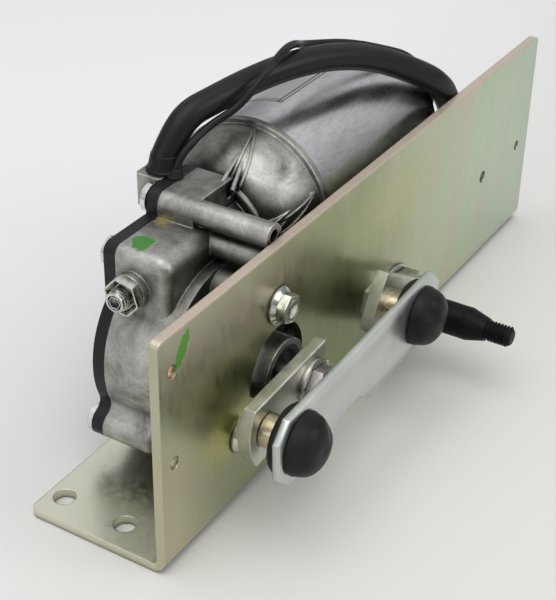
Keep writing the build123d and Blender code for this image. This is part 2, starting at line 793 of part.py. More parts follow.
with BuildPart() as armature_core:
    with BuildSketch(across_motor(core_left)):
        Circle(core_radius)
        Circle(core_bore, mode=Mode.SUBTRACT)
        with PolarLocations(0, core_slots):
            with Locations((slot_middle, 0)):
                Rectangle(slot_depth, slot_width, mode=Mode.SUBTRACT)
            with Locations((core_radius, 0)):
                Rectangle(4.0, slot_mouth, mode=Mode.SUBTRACT)
    extrude(amount=core_length)

with BuildPart() as windings:
    with BuildSketch(across_motor(core_left - winding_gap)):
        with PolarLocations(0, core_slots):
            with Locations((slot_middle, 0)):
                Rectangle(slot_depth - 2 * winding_gap, slot_width - 2 * winding_gap)
    extrude(amount=core_length + 2 * winding_gap)
    revolve(
        turned_about_motor([
            (core_left - winding_gap, core_bore + 1.5), (core_left - winding_gap, winding_radius),
            (core_left - 4, winding_radius), (core_left - winding_overhang, winding_radius - 4.5),
            (core_left - winding_overhang, core_bore + 1.5),
        ]),
        axis=motor_axis,
    )
    revolve(
        turned_about_motor([
            (core_right + winding_gap, core_bore + 1.5), (core_right + winding_gap, winding_radius),
            (core_right + 4, winding_radius), (core_right + winding_overhang, winding_radius - 4.5),
            (core_right + winding_overhang, core_bore + 1.5),
        ]),
        axis=motor_axis,
    )

with BuildPart() as commutator:
    with BuildSketch(across_motor(commutator_left)):
        Circle(commutator_radius)
        with PolarLocations(0, core_slots, start_angle=15):
            with Locations((commutator_radius, 0)):
                Rectangle(2.4, 0.7, mode=Mode.SUBTRACT)
        Circle(core_bore, mode=Mode.SUBTRACT)
    extrude(amount=commutator_length)
    with BuildSketch(across_motor(commutator_right)):
        Circle(commutator_radius + 1.6)
        Circle(core_bore, mode=Mode.SUBTRACT)
    extrude(amount=core_left - winding_overhang - winding_gap - commutator_right)

# ================================================================== worm wheel and output shaft
wheel_root = wheel_pitch_radius - tooth_dedendum
wheel_tip = wheel_pitch_radius + tooth_addendum
wheel_front_y = motor_y - wheel_width / 2
wheel_rear_y = motor_y + wheel_width / 2
hub_front_y = bowl_floor_y + 0.5
park_contact_reach = (park_ring_outer + park_ring_inner) / 2
tooth_half = thread_half
lead = math.radians(worm_lead_angle)
tooth_plane = Plane(
    origin=(hub_x, motor_y, hub_z),
    x_dir=(-math.cos(lead), math.sin(lead), 0),
    z_dir=(math.sin(lead), math.cos(lead), 0),
)

with BuildPart() as wheel_tooth:
    with BuildSketch(tooth_plane):
        with BuildLine():
            Polyline(
                (-tooth_half - flank_slope * (tooth_dedendum + 0.3), wheel_root - 0.3),
                (-tooth_half + flank_slope * tooth_addendum, wheel_tip),
                (tooth_half - flank_slope * tooth_addendum, wheel_tip),
                (tooth_half + flank_slope * (tooth_dedendum + 0.3), wheel_root - 0.3),
                close=True,
            )
        make_face()
    extrude(amount=wheel_width / 2 / math.cos(lead), both=True)

with BuildPart() as worm_wheel:
    revolve(
        turned_about_output(hub, [
            (output_radius + seat_gap, hub_front_y), (wheel_hub_radius, hub_front_y),
            (wheel_hub_radius, wheel_front_y + 1), (wheel_hub_radius + 1, wheel_front_y + 2),
            (wheel_rim_inner, wheel_front_y + 2), (wheel_rim_inner, wheel_front_y),
            (wheel_root, wheel_front_y), (wheel_root, wheel_rear_y),
            (output_radius + seat_gap, wheel_rear_y),
        ]),
        axis=output_axis,
    )
    add([
        wheel_tooth.part.rotate(output_axis, tooth * 360 / wheel_teeth) for tooth in range(wheel_teeth)
    ])

with BuildPart() as park_disc:
    with BuildSketch(facing_front(wheel_rear_y)):
        with Locations(hub):
            Circle(park_ring_outer)
            Circle(park_ring_inner, mode=Mode.SUBTRACT)
            with Locations((park_contact_reach, 0)):
                Rectangle(4.0, 3.0, mode=Mode.SUBTRACT)
    extrude(amount=-park_disc_thickness)

shaft_front_y = arm_front_y - crank_washer_height - crank_nut_height - 0.4
crank_seat_radius = 4.6

with BuildPart() as output_shaft:
    revolve(
        turned_about_output(hub, [
            (0, output_rear_y), (output_radius - 0.6, output_rear_y), (output_radius, output_rear_y - 0.6),
            (output_radius, arm_rear_y), (crank_seat_radius, arm_rear_y), (crank_seat_radius, arm_front_y),
            (thread_radius, arm_front_y), (thread_radius, shaft_front_y + 0.6),
            (thread_radius - 0.6, shaft_front_y), (0, shaft_front_y),
        ]),
        axis=output_axis,
    )

with BuildPart() as output_bushes:
    for front_y in (boss_front_y + seal_depth, bowl_floor_y - bush_length):
        with BuildSketch(facing_front(front_y)):
            with Locations(hub):
                Circle(bush_outer)
                Circle(output_radius + running_gap, mode=Mode.SUBTRACT)
        extrude(amount=-bush_length)

with BuildPart() as shaft_seal:
    revolve(
        turned_about_output(hub, [
            (output_radius + running_gap, boss_front_y + seal_depth - 0.1),
            (boss_radius - 2.25, boss_front_y + seal_depth - 0.1), (boss_radius - 2.25, boss_front_y + 0.3),
            (boss_radius - 4.0, boss_front_y + 0.3), (boss_radius - 5.2, boss_front_y + 1.8),
            (output_radius + running_gap, boss_front_y + 1.2),
        ]),
        axis=output_axis,
    )

# ------------------------------------------------------------------ park switch in the cover
cover_inner_y = cover_rear_y - cover_wall
contact_front_y = wheel_rear_y + park_disc_thickness + sliding_gap

with BuildPart() as park_switch_base:
    with BuildSketch(facing_front(cover_inner_y)):
        with Locations((hub_x + park_contact_reach - 2.5, hub_z)):
            Rectangle(10.0, 16.0)
    extrude(amount=2.0)

with BuildPart() as park_contacts:
    with BuildSketch(facing_front(cover_inner_y - 2.0)):
        with Locations((hub_x + park_contact_reach, hub_z)):
            with GridLocations(0, 5.0, 1, 3):
                Rectangle(5.0, 1.0)
    extrude(amount=cover_inner_y - 2.0 - contact_front_y)


# ================================================================== crank and rocker arms
def arm_outline(y, start, angle, reach, rounded):
    """A flat arm from its shaft to its ball stud. Its ball end may be rounded."""
    end = reach + arm_overhang
    half = arm_width / 2
    corner = 4.0 if rounded else 1.0
    with BuildSketch() as outline:
        with BuildLine():
            Polyline((end - corner, -half), (-arm_overhang, -half), (-arm_overhang, half - 3),
                     (-arm_overhang + 3, half), (end - corner, half))
            ThreePointArc((end - corner, half), (end, 0), (end - corner, -half))
        make_face()
    return facing_front(y).location * Location((start[0], start[1], 0), (0, 0, angle)) * outline.sketch


with BuildPart() as crank_arm:
    extrude(arm_outline(arm_rear_y, hub, crank_angle, crank_radius, True), amount=arm_thickness)
    with BuildSketch(facing_front(arm_rear_y)):
        with Locations(hub):
            Circle(crank_seat_radius + seat_gap)
        with Locations(crank_ball):
            Circle(stud_tail_radius + seat_gap)
    extrude(amount=arm_thickness, mode=Mode.SUBTRACT)
    chamfer(crank_arm.edges().filter_by(GeomType.LINE).filter_by(lambda edge: edge.length > 12), 0.4)

with BuildPart() as rocker_arm:
    extrude(arm_outline(arm_rear_y, spindle, rocker_angle, rocker_radius, False), amount=arm_thickness)
    with BuildSketch(facing_front(arm_rear_y)):
        with Locations(spindle):
            Circle(spindle_radius + seat_gap)
        with Locations(rocker_ball):
            Circle(stud_tail_radius + seat_gap)
    extrude(amount=arm_thickness, mode=Mode.SUBTRACT)
    chamfer(rocker_arm.edges().filter_by(GeomType.LINE).filter_by(lambda edge: edge.length > 12), 0.4)

with BuildPart() as crank_washer:
    with BuildSketch(facing_front(arm_front_y)):
        with Locations(hub):
            Circle(crank_washer_radius)
            Circle(thread_radius + seat_gap, mode=Mode.SUBTRACT)
    extrude(amount=crank_washer_height)

with BuildPart() as crank_nut:
    with BuildSketch(facing_front(arm_front_y - crank_washer_height)):
        with Locations(hub):
            RegularPolygon(crank_nut_flats / 2, 6, major_radius=False, rotation=18)
            Circle(thread_radius + seat_gap, mode=Mode.SUBTRACT)
    extrude(amount=crank_nut_height)


# ================================================================== ball studs
def stud_front_profile(start_y):
    """The collar, neck and ball in front of an arm, as a closed half outline of (radius, y)."""
    neck_reach = math.sqrt(ball_radius ** 2 - stud_neck_radius ** 2)
    return [(0, start_y), (stud_collar_radius, start_y), (stud_collar_radius, stud_collar_y),
            (stud_neck_radius, stud_collar_y), (stud_neck_radius, ball_y + neck_reach),
            (0, ball_y + neck_reach)]


stud_collar_y = link_rear_y + seal_thickness + 1.8
tail_rear_y = arm_rear_y + stud_tail_height

with BuildPart() as link_ball_stud:
    revolve(turned_about_output(crank_ball, stud_front_profile(arm_front_y - sliding_gap)),
            axis=line_along_y(crank_ball))
    with Locations((crank_ball[0], ball_y, crank_ball[1])):
        Sphere(ball_radius)

with BuildPart() as rocker_ball_stud:
    revolve(turned_about_output(rocker_ball, stud_front_profile(arm_front_y)),
            axis=line_along_y(rocker_ball))
    with Locations((rocker_ball[0], ball_y, rocker_ball[1])):
        Sphere(ball_radius)
    with BuildSketch(facing_front(tail_rear_y)):
        with Locations(rocker_ball):
            Circle(stud_tail_radius)
    extrude(amount=tail_rear_y - arm_front_y)

with BuildPart() as rocker_stud_nut:
    with BuildSketch(facing_front(tail_rear_y)):
        with Locations(rocker_ball):
            RegularPolygon(stud_tail_head, 6, rotation=10)
            Circle(stud_tail_radius + seat_gap, mode=Mode.SUBTRACT)
    extrude(amount=stud_tail_height)

with BuildPart() as crank_stud_tail:
    with BuildSketch(facing_front(tail_rear_y)):
        with Locations(crank_ball):
            RegularPolygon(stud_tail_head, 6, rotation=10)
    extrude(amount=stud_tail_height)
    with BuildSketch(facing_front(arm_rear_y)):
        with Locations(crank_ball):
            Circle(stud_tail_radius)
    extrude(amount=arm_thickness)

# ================================================================== link with its ball sockets
socket_reach = math.sqrt((ball_radius + ball_gap) ** 2 - (cup_rear_y - ball_y) ** 2)
link_half = link_width / 2
link_mouth = link_overhang - link_chamfer
balls = (crank_ball, rocker_ball)


def link_outline():
    """The bar's outline along the line from ball to ball, with the scooped lower edge."""
    with BuildSketch() as outline:
        with BuildLine():
            Polyline(
                (-link_overhang, -link_half + link_chamfer), (-link_overhang, link_half - link_chamfer),
                (-link_mouth, link_half), (link_length + link_mouth, link_half),
                (link_length + link_overhang, link_half - link_chamfer),
                (link_length + link_overhang, -link_half + link_chamfer),
                (link_length + link_mouth, -link_half), (scoop_end, -link_half),
                (scoop_end - scoop_depth, -link_half + scoop_depth),
                (scoop_start + 2.5 * scoop_depth, -link_half + scoop_depth), (scoop_start, -link_half),
                (-link_mouth, -link_half), close=True,
            )
        make_face()
    on_ball = Location((crank_ball[0], crank_ball[1], 0), (0, 0, link_angle))
    return facing_front(link_rear_y).location * on_ball * outline.sketch


with BuildPart() as link_bar:
    extrude(link_outline(), amount=link_thickness)
    with BuildSketch(facing_front(link_rear_y)):
        with Locations(*balls):
            Circle(cup_outer + seat_gap)
    extrude(amount=link_thickness, mode=Mode.SUBTRACT)

with BuildPart() as ball_cups:
    for ball in balls:
        with BuildSketch(facing_front(cup_rear_y)):
            with Locations(ball):
                Circle(cup_outer)
        extrude(amount=cup_rear_y - cup_front_y)
        with Locations((ball[0], ball_y, ball[1])):
            Sphere(ball_radius + ball_gap, mode=Mode.SUBTRACT)

with BuildPart() as seal_rings:
    for ball in balls:
        revolve(
            turned_about_output(ball, [
                (cup_outer + seat_gap, link_rear_y), (seal_radius, link_rear_y),
                (seal_radius, link_rear_y + 0.6 * seal_thickness), (seal_radius - 1, seal_rear_y),
                (seal_lip_radius, seal_rear_y), (seal_lip_radius, seal_rear_y - 0.7),
                (cup_outer + seat_gap, seal_rear_y - 0.7),
            ]),
            axis=line_along_y(ball),
        )


def cap_outline(ball):
    """Half of a dust cap's section: a domed skin, hollow over the cup."""
    middle = ball[0]
    tip_y = link_front_y - cap_height
    with BuildSketch(Plane.XY.offset(ball[1])) as section:
        with BuildLine():
            ThreePointArc((middle, tip_y), (middle + 3.6, tip_y + 0.6), (middle + 6.4, tip_y + 2.2))
            ThreePointArc((middle + 6.4, tip_y + 2.2), (middle + 11.0, tip_y + 6.4),
                          (middle + cap_radius, link_front_y - 1.8))
            Polyline((middle + cap_radius, link_front_y - 1.8), (middle + cap_radius, link_front_y),
                     (middle + cup_outer + 0.3, link_front_y), (middle + cup_outer + 0.3, cup_front_y - 0.3),
                     (middle, cup_front_y - 0.3), (middle, tip_y))
        make_face()
    return section.sketch


with BuildPart() as dust_caps:
    for ball in balls:
        revolve(cap_outline(ball), axis=line_along_y(ball))

# ================================================================== spindle and its pivot
pivot_front_y = plate_front_y - pivot_washer_height - pivot_nut_height + 0.2
pivot_bore = 8.0

with BuildPart() as pivot_housing:
    revolve(
        turned_about_output(spindle, [
            (pivot_bore, pivot_front_y), (pivot_tube_radius, pivot_front_y),
            (pivot_tube_radius, plate_rear_y), (pivot_flange_radius, plate_rear_y),
            (pivot_flange_radius, plate_rear_y + pivot_flange_height),
            (pivot_tube_radius + 2, plate_rear_y + pivot_flange_height),
            (pivot_tube_radius, plate_rear_y + pivot_flange_height + 4), (pivot_tube_radius, pivot_rear_y),
            (pivot_bore, pivot_rear_y),
        ]),
        axis=line_along_y(spindle),
    )

with BuildPart() as pivot_bushes:
    for front_y in (pivot_front_y, pivot_rear_y - bush_length):
        with BuildSketch(facing_front(front_y)):
            with Locations(spindle):
                Circle(pivot_bore - seat_gap)
                Circle(spindle_radius + running_gap, mode=Mode.SUBTRACT)
        extrude(amount=-bush_length)

with BuildPart() as pivot_washer:
    with BuildSketch(facing_front(plate_front_y)):
        with Locations(spindle):
            Circle(pivot_washer_radius)
            Circle(pivot_tube_radius + seat_gap, mode=Mode.SUBTRACT)
    extrude(amount=pivot_washer_height)

with BuildPart() as pivot_nut:
    with BuildSketch(facing_front(plate_front_y - pivot_washer_height)):
        with Locations(spindle):
            RegularPolygon(pivot_nut_flats / 2, 6, major_radius=False, rotation=20)
            Circle(pivot_tube_radius + seat_gap, mode=Mode.SUBTRACT)
    extrude(amount=pivot_nut_height)

clip_groove_y = pivot_rear_y + 0.2
clip_thickness = 1.2
groove_radius = spindle_radius - 0.8
spindle_rear_y = clip_groove_y + clip_thickness + 2.0

with BuildPart() as spindle_shaft:
    revolve(
        turned_about_output(spindle, [
            (0, spindle_rear_y), (spindle_radius - 0.6, spindle_rear_y),
            (spindle_radius, spindle_rear_y - 0.6), (spindle_radius, clip_groove_y + clip_thickness),
            (groove_radius, clip_groove_y + clip_thickness), (groove_radius, clip_groove_y),
            (spindle_radius, clip_groove_y), (spindle_radius, arm_front_y),
            (spindle_nose_radius, arm_front_y), (spindle_nose_radius, spindle_cone_y),
            (4.7, spindle_thread_y), (thread_radius - 0.3, spindle_thread_y),
            (thread_radius - 0.3, spindle_end_y + 0.8), (thread_radius - 1.1, spindle_end_y),
            (0, spindle_end_y),
        ]),
        axis=line_along_y(spindle),
    )

with BuildPart() as spindle_clip:
    with BuildSketch(facing_front(clip_groove_y)):
        with Locations(spindle):
            Circle(pivot_tube_radius)
            Circle(groove_radius + seat_gap, mode=Mode.SUBTRACT)
            with Locations((0, pivot_tube_radius)):
                Rectangle(4.0, 6.0, mode=Mode.SUBTRACT)
    extrude(amount=-clip_thickness)

# ================================================================== mounting bolts
leg_centres = [along(hub, angle, leg_circle) for angle in leg_angles]

with BuildPart() as mounting_bolts:
    with BuildSketch(facing_front(plate_rear_y + 12)):
        with Locations(*leg_centres):
            Circle(bolt_radius)
    extrude(amount=plate_thickness + 12)
    with BuildSketch(facing_front(plate_front_y)):
        with Locations(*leg_centres):
            Circle(bolt_flange_radius)
    extrude(amount=1.4, taper=12)
    with BuildSketch(facing_front(plate_front_y)):
        with Locations(*leg_centres):
            RegularPolygon(bolt_flats / 2, 6, major_radius=False, rotation=8)
    extrude(amount=bolt_head_height)
    with BuildSketch(facing_front(plate_front_y - bolt_head_height)):
        with Locations(*leg_centres):
            Circle(bolt_flats / 2 - 1.4)
    extrude(amount=-0.8, mode=Mode.SUBTRACT)


# ================================================================== harness
def bend_radii(route):
    """One radius for each corner: as large as its two runs allow."""
    radii = []
    for before, corner, after in zip(route, route[1:], route[2:]):
        first = Vector(*corner) - Vector(*before)
        second = Vector(*after) - Vector(*corner)
        half_turn = math.radians(first.get_angle(second)) / 2
        radii.append(0.45 * min(first.length, second.length) / math.tan(half_turn))
    return radii


def report_tube(name, route, diameter, path, volume):
    radii = [round(radius) for radius in bend_radii(route)]
    length = sum(edge.length for edge in path)
    section = math.pi * diameter ** 2 / 4
    print(name, "radii", radii, "length", round(length), "volume ratio", round(volume / section / length, 4))


with BuildPart() as harness_sleeve:
    with BuildLine() as sleeve_path:
        FilletPolyline(*sleeve_route, radius=bend_radii(sleeve_route))
    with BuildSketch(start_plane(sleeve_route)):
        Circle(sleeve_diameter / 2)
    sweep()
report_tube("sleeve", sleeve_route, sleeve_diameter, sleeve_path.edges(), harness_sleeve.part.volume)

with BuildPart() as signal_wires:
    with BuildLine() as wires_path:
        FilletPolyline(*wires_route, radius=bend_radii(wires_route))
    with BuildSketch(start_plane(wires_route)):
        Circle(wires_diameter / 2)
    sweep()
report_tube("wires", wires_route, wires_diameter, wires_path.edges(), signal_wires.part.volume)

sleeve_end = sleeve_route[-1]
wires_end = wires_route[-1]

with BuildPart() as connector:
    with Locations((sleeve_end[0], sleeve_end[1] - sleeve_diameter / 2 - 1.5, plate_thickness)):
        Box(connector_length, connector_depth, connector_height, align=(Align.MAX, Align.MIN, Align.MIN))
    fillet(connector.edges().filter_by(Axis.X), 1.5)
    mouth = connector.faces().sort_by(Axis.X)[0]
    with BuildSketch(mouth):
        with GridLocations(connector_depth / 4, connector_height / 2.2, 3, 2):
            Rectangle(4.0, 4.4)
    extrude(amount=-9.0, mode=Mode.SUBTRACT)

# ================================================================== files
pieces = {
    "bracket": bracket,
    "gear_housing": gear_housing,
    "rear_cover": rear_cover,
    "gland_block": gland_block,
    "cover_screws": cover_screws,
    "cable_gland": cable_gland,
    "motor_can": motor_can,
    "name_label": name_label,
    "magnets": magnets,
    "end_bush": end_bush,
    "worm_bush": worm_bush,
    "thrust_ball": thrust_ball,
    "set_screw": set_screw,
    "lock_nut": lock_nut,
    "brush_plate": brush_plate,
    "brush_holders": brush_holders,
    "brushes": brushes,
    "armature_shaft": armature_shaft,
    "armature_core": armature_core,
    "windings": windings,
    "commutator": commutator,
    "worm_wheel": worm_wheel,
    "park_disc": park_disc,
    "park_switch_base": park_switch_base,
    "park_contacts": park_contacts,
    "output_shaft": output_shaft,
    "output_bushes": output_bushes,
    "shaft_seal": shaft_seal,
    "crank_arm": crank_arm,
    "crank_washer": crank_washer,
    "crank_nut": crank_nut,
    "crank_stud_tail": crank_stud_tail,
    "link_ball_stud": link_ball_stud,
    "link_bar": link_bar,
    "ball_cups": ball_cups,
    "seal_rings": seal_rings,
    "dust_caps": dust_caps,
    "rocker_arm": rocker_arm,
    "rocker_ball_stud": rocker_ball_stud,
    "rocker_stud_nut": rocker_stud_nut,
    "spindle_shaft": spindle_shaft,
    "spindle_clip": spindle_clip,
    "pivot_housing": pivot_housing,
    "pivot_bushes": pivot_bushes,
    "pivot_washer": pivot_washer,
    "pivot_nut": pivot_nut,
    "mounting_bolts": mounting_bolts,
    "harness_sleeve": harness_sleeve,
    "signal_wires": signal_wires,
    "connector": connector,
}

os.makedirs("parts", exist_ok=True)
for label, piece in pieces.items():
    piece.part.label = label
    export_step(piece.part, f"parts/{label}.step")
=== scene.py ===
# %% [markdown]
# # A wiper motor on its bracket
#
# The object is a drive for one windscreen wiper. A motor turns a worm gear in a cast housing, a
# crank and a link carry the motion to a rocker arm, and the rocker turns the wiper's spindle.
# Its rigid parts come in ready made, in metres, with +z up and +x along the bracket's plate.
# This lesson gives them their finishes, adds the threads, cables and small details that only
# matter to the eye, and lights the whole as a product picture.

import math

import bmesh
import bpy
from mathutils import Matrix, Vector


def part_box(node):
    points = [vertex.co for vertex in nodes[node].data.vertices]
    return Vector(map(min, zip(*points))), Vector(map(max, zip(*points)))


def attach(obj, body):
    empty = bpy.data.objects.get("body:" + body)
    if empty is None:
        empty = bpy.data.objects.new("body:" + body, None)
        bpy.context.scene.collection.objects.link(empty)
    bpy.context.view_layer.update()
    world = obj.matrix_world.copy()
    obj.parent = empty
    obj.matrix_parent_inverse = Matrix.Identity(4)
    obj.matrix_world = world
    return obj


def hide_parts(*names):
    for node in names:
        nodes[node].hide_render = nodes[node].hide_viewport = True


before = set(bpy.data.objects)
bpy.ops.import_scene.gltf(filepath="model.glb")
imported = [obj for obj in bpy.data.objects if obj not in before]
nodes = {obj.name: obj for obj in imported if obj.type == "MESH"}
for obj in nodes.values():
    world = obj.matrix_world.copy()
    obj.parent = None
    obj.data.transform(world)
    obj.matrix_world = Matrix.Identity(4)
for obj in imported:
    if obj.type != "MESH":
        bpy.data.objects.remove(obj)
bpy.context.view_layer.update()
print("parts loaded:", len(nodes))

# %% [markdown]
# ## Camera
#
# The picture looks down on the gearbox end of the plate. A long lens, about 84 mm, keeps the
# plate's edges nearly parallel. The camera could be aimed with a constraint, but a fixed place
# and turn are simpler and never change when the object moves.

# %% Camera
camera_turn = (57.4882, -0.9226, -58.5321)    # degrees about x, y and z
camera_data = bpy.data.cameras.new("camera")
camera_data.lens = 83.98
camera_data.clip_start = 0.02
camera = bpy.data.objects.new("camera", camera_data)
camera.location = (-0.43245, -0.25004, 0.33622)
camera.rotation_euler = [math.radians(turn) for turn in camera_turn]
bpy.context.scene.collection.objects.link(camera)
bpy.context.scene.camera = camera
print("camera: a lens of", round(camera_data.lens), "mm, above the left end of the plate")

# %% [markdown]
# ## Floor and light
#
# A pale sweep of paper under soft lamps shows metal best, because bright metal only looks bright
# when it has something pale to reflect. The paper could be one flat tone, but a real sheet falls
# off towards the camera, away from the lamps, so a ramp along y makes it a little darker there.

# %% Floor
bpy.ops.object.select_all(action="DESELECT")
bpy.ops.mesh.primitive_plane_add(size=6.0, location=(0, 0, -0.0002))
floor = bpy.context.object
floor.name = "floor"
floor_paper = bpy.data.materials.new("floor_paper")
floor_paper.use_nodes = True
paper_nodes = floor_paper.node_tree.nodes
paper_links = floor_paper.node_tree.links
paper = paper_nodes["Principled BSDF"]
paper.inputs["Roughness"].default_value = 0.75
paper.inputs["Specular IOR Level"].default_value = 0.2
across_floor = paper_nodes.new("ShaderNodeSeparateXYZ")
paper_links.new(paper_nodes.new("ShaderNodeTexCoord").outputs["Object"], across_floor.inputs["Vector"])
fall_off = paper_nodes.new("ShaderNodeMapRange")
fall_off.interpolation_type = "SMOOTHSTEP"
fall_off.inputs["From Min"].default_value = -0.06
fall_off.inputs["From Max"].default_value = 0.16
paper_links.new(across_floor.outputs["Y"], fall_off.inputs["Value"])
paper_tone = paper_nodes.new("ShaderNodeMix")
paper_tone.data_type = "RGBA"
paper_tone.inputs[6].default_value = (0.635, 0.625, 0.605, 1)
paper_tone.inputs[7].default_value = (0.73, 0.735, 0.735, 1)
paper_links.new(fall_off.outputs["Result"], paper_tone.inputs["Factor"])
paper_links.new(paper_tone.outputs[2], paper.inputs["Base Color"])
floor.data.materials.append(floor_paper)
print("floor:", floor.name)

# %% [markdown]
# ### World
#
# The world stands for the walls and ceiling of a bright room. An even white one would leave metal
# flat and pale, so its strength falls off towards the horizon, and metal gets a dark band to show.

# %% World
horizon_strength, sky_strength = 0.22, 0.85
world = bpy.data.worlds.new("studio")
bpy.context.scene.world = world
world.use_nodes = True
world_nodes = world.node_tree.nodes
world_links = world.node_tree.links
background = world_nodes["Background"]
background.inputs["Color"].default_value = (0.96, 0.98, 1.0, 1)
heading = world_nodes.new("ShaderNodeSeparateXYZ")
world_links.new(world_nodes.new("ShaderNodeTexCoord").outputs["Generated"], heading.inputs["Vector"])
height = world_nodes.new("ShaderNodeMapRange")
height.interpolation_type = "SMOOTHSTEP"
height.inputs["From Min"].default_value = -0.05
height.inputs["From Max"].default_value = 0.75
height.inputs["To Min"].default_value = horizon_strength
height.inputs["To Max"].default_value = sky_strength
world_links.new(heading.outputs["Z"], height.inputs["Value"])
world_links.new(height.outputs["Result"], background.inputs["Strength"])
bpy.context.scene.view_settings.view_transform = "Standard"
print("world: strength", horizon_strength, "at the horizon and", sky_strength, "overhead")

# %% [markdown]
# ### Lamps
#
# Three round area lamps light the object: a broad one above, one in front for the plate and a weak
# one at the left for the gearbox. A large lamp gives a soft shadow, and shows in metal as a broad
# highlight in place of a hard white dot.


# %% Lamps
def add_lamp(name, place, size, watts, colour=(1, 1, 1)):
    """A round area lamp that looks at the middle of the object."""
    lamp_data = bpy.data.lights.new(name, "AREA")
    lamp_data.shape = "DISK"
    lamp_data.size = size
    lamp_data.energy = watts
    lamp_data.color = colour
    lamp = bpy.data.objects.new(name, lamp_data)
    lamp.location = place
    lamp.rotation_euler = (Vector(lamp_target) - Vector(place)).to_track_quat("-Z", "Y").to_euler()
    bpy.context.scene.collection.objects.link(lamp)
    print("lamp", name, "of", watts, "W")


lamp_target = (0, 0, 0.05)
add_lamp("key", (-0.5, -0.1, 1.5), 1.7, 12.2, (1.0, 0.99, 0.97))
add_lamp("front", (0.3, -1.5, 0.9), 1.0, 7.5)
add_lamp("left", (-1.3, 0.35, 0.45), 0.7, 1.5)

# %% [markdown]
# ## Finishes
#
# Each finish is a small network of nodes. All of them start from the object's own coordinates, so
# a pattern stays on its part when the part moves. Noise gives the cloudy change of colour that
# plated and cast metal has, and a bump gives the grain that the hand would feel.


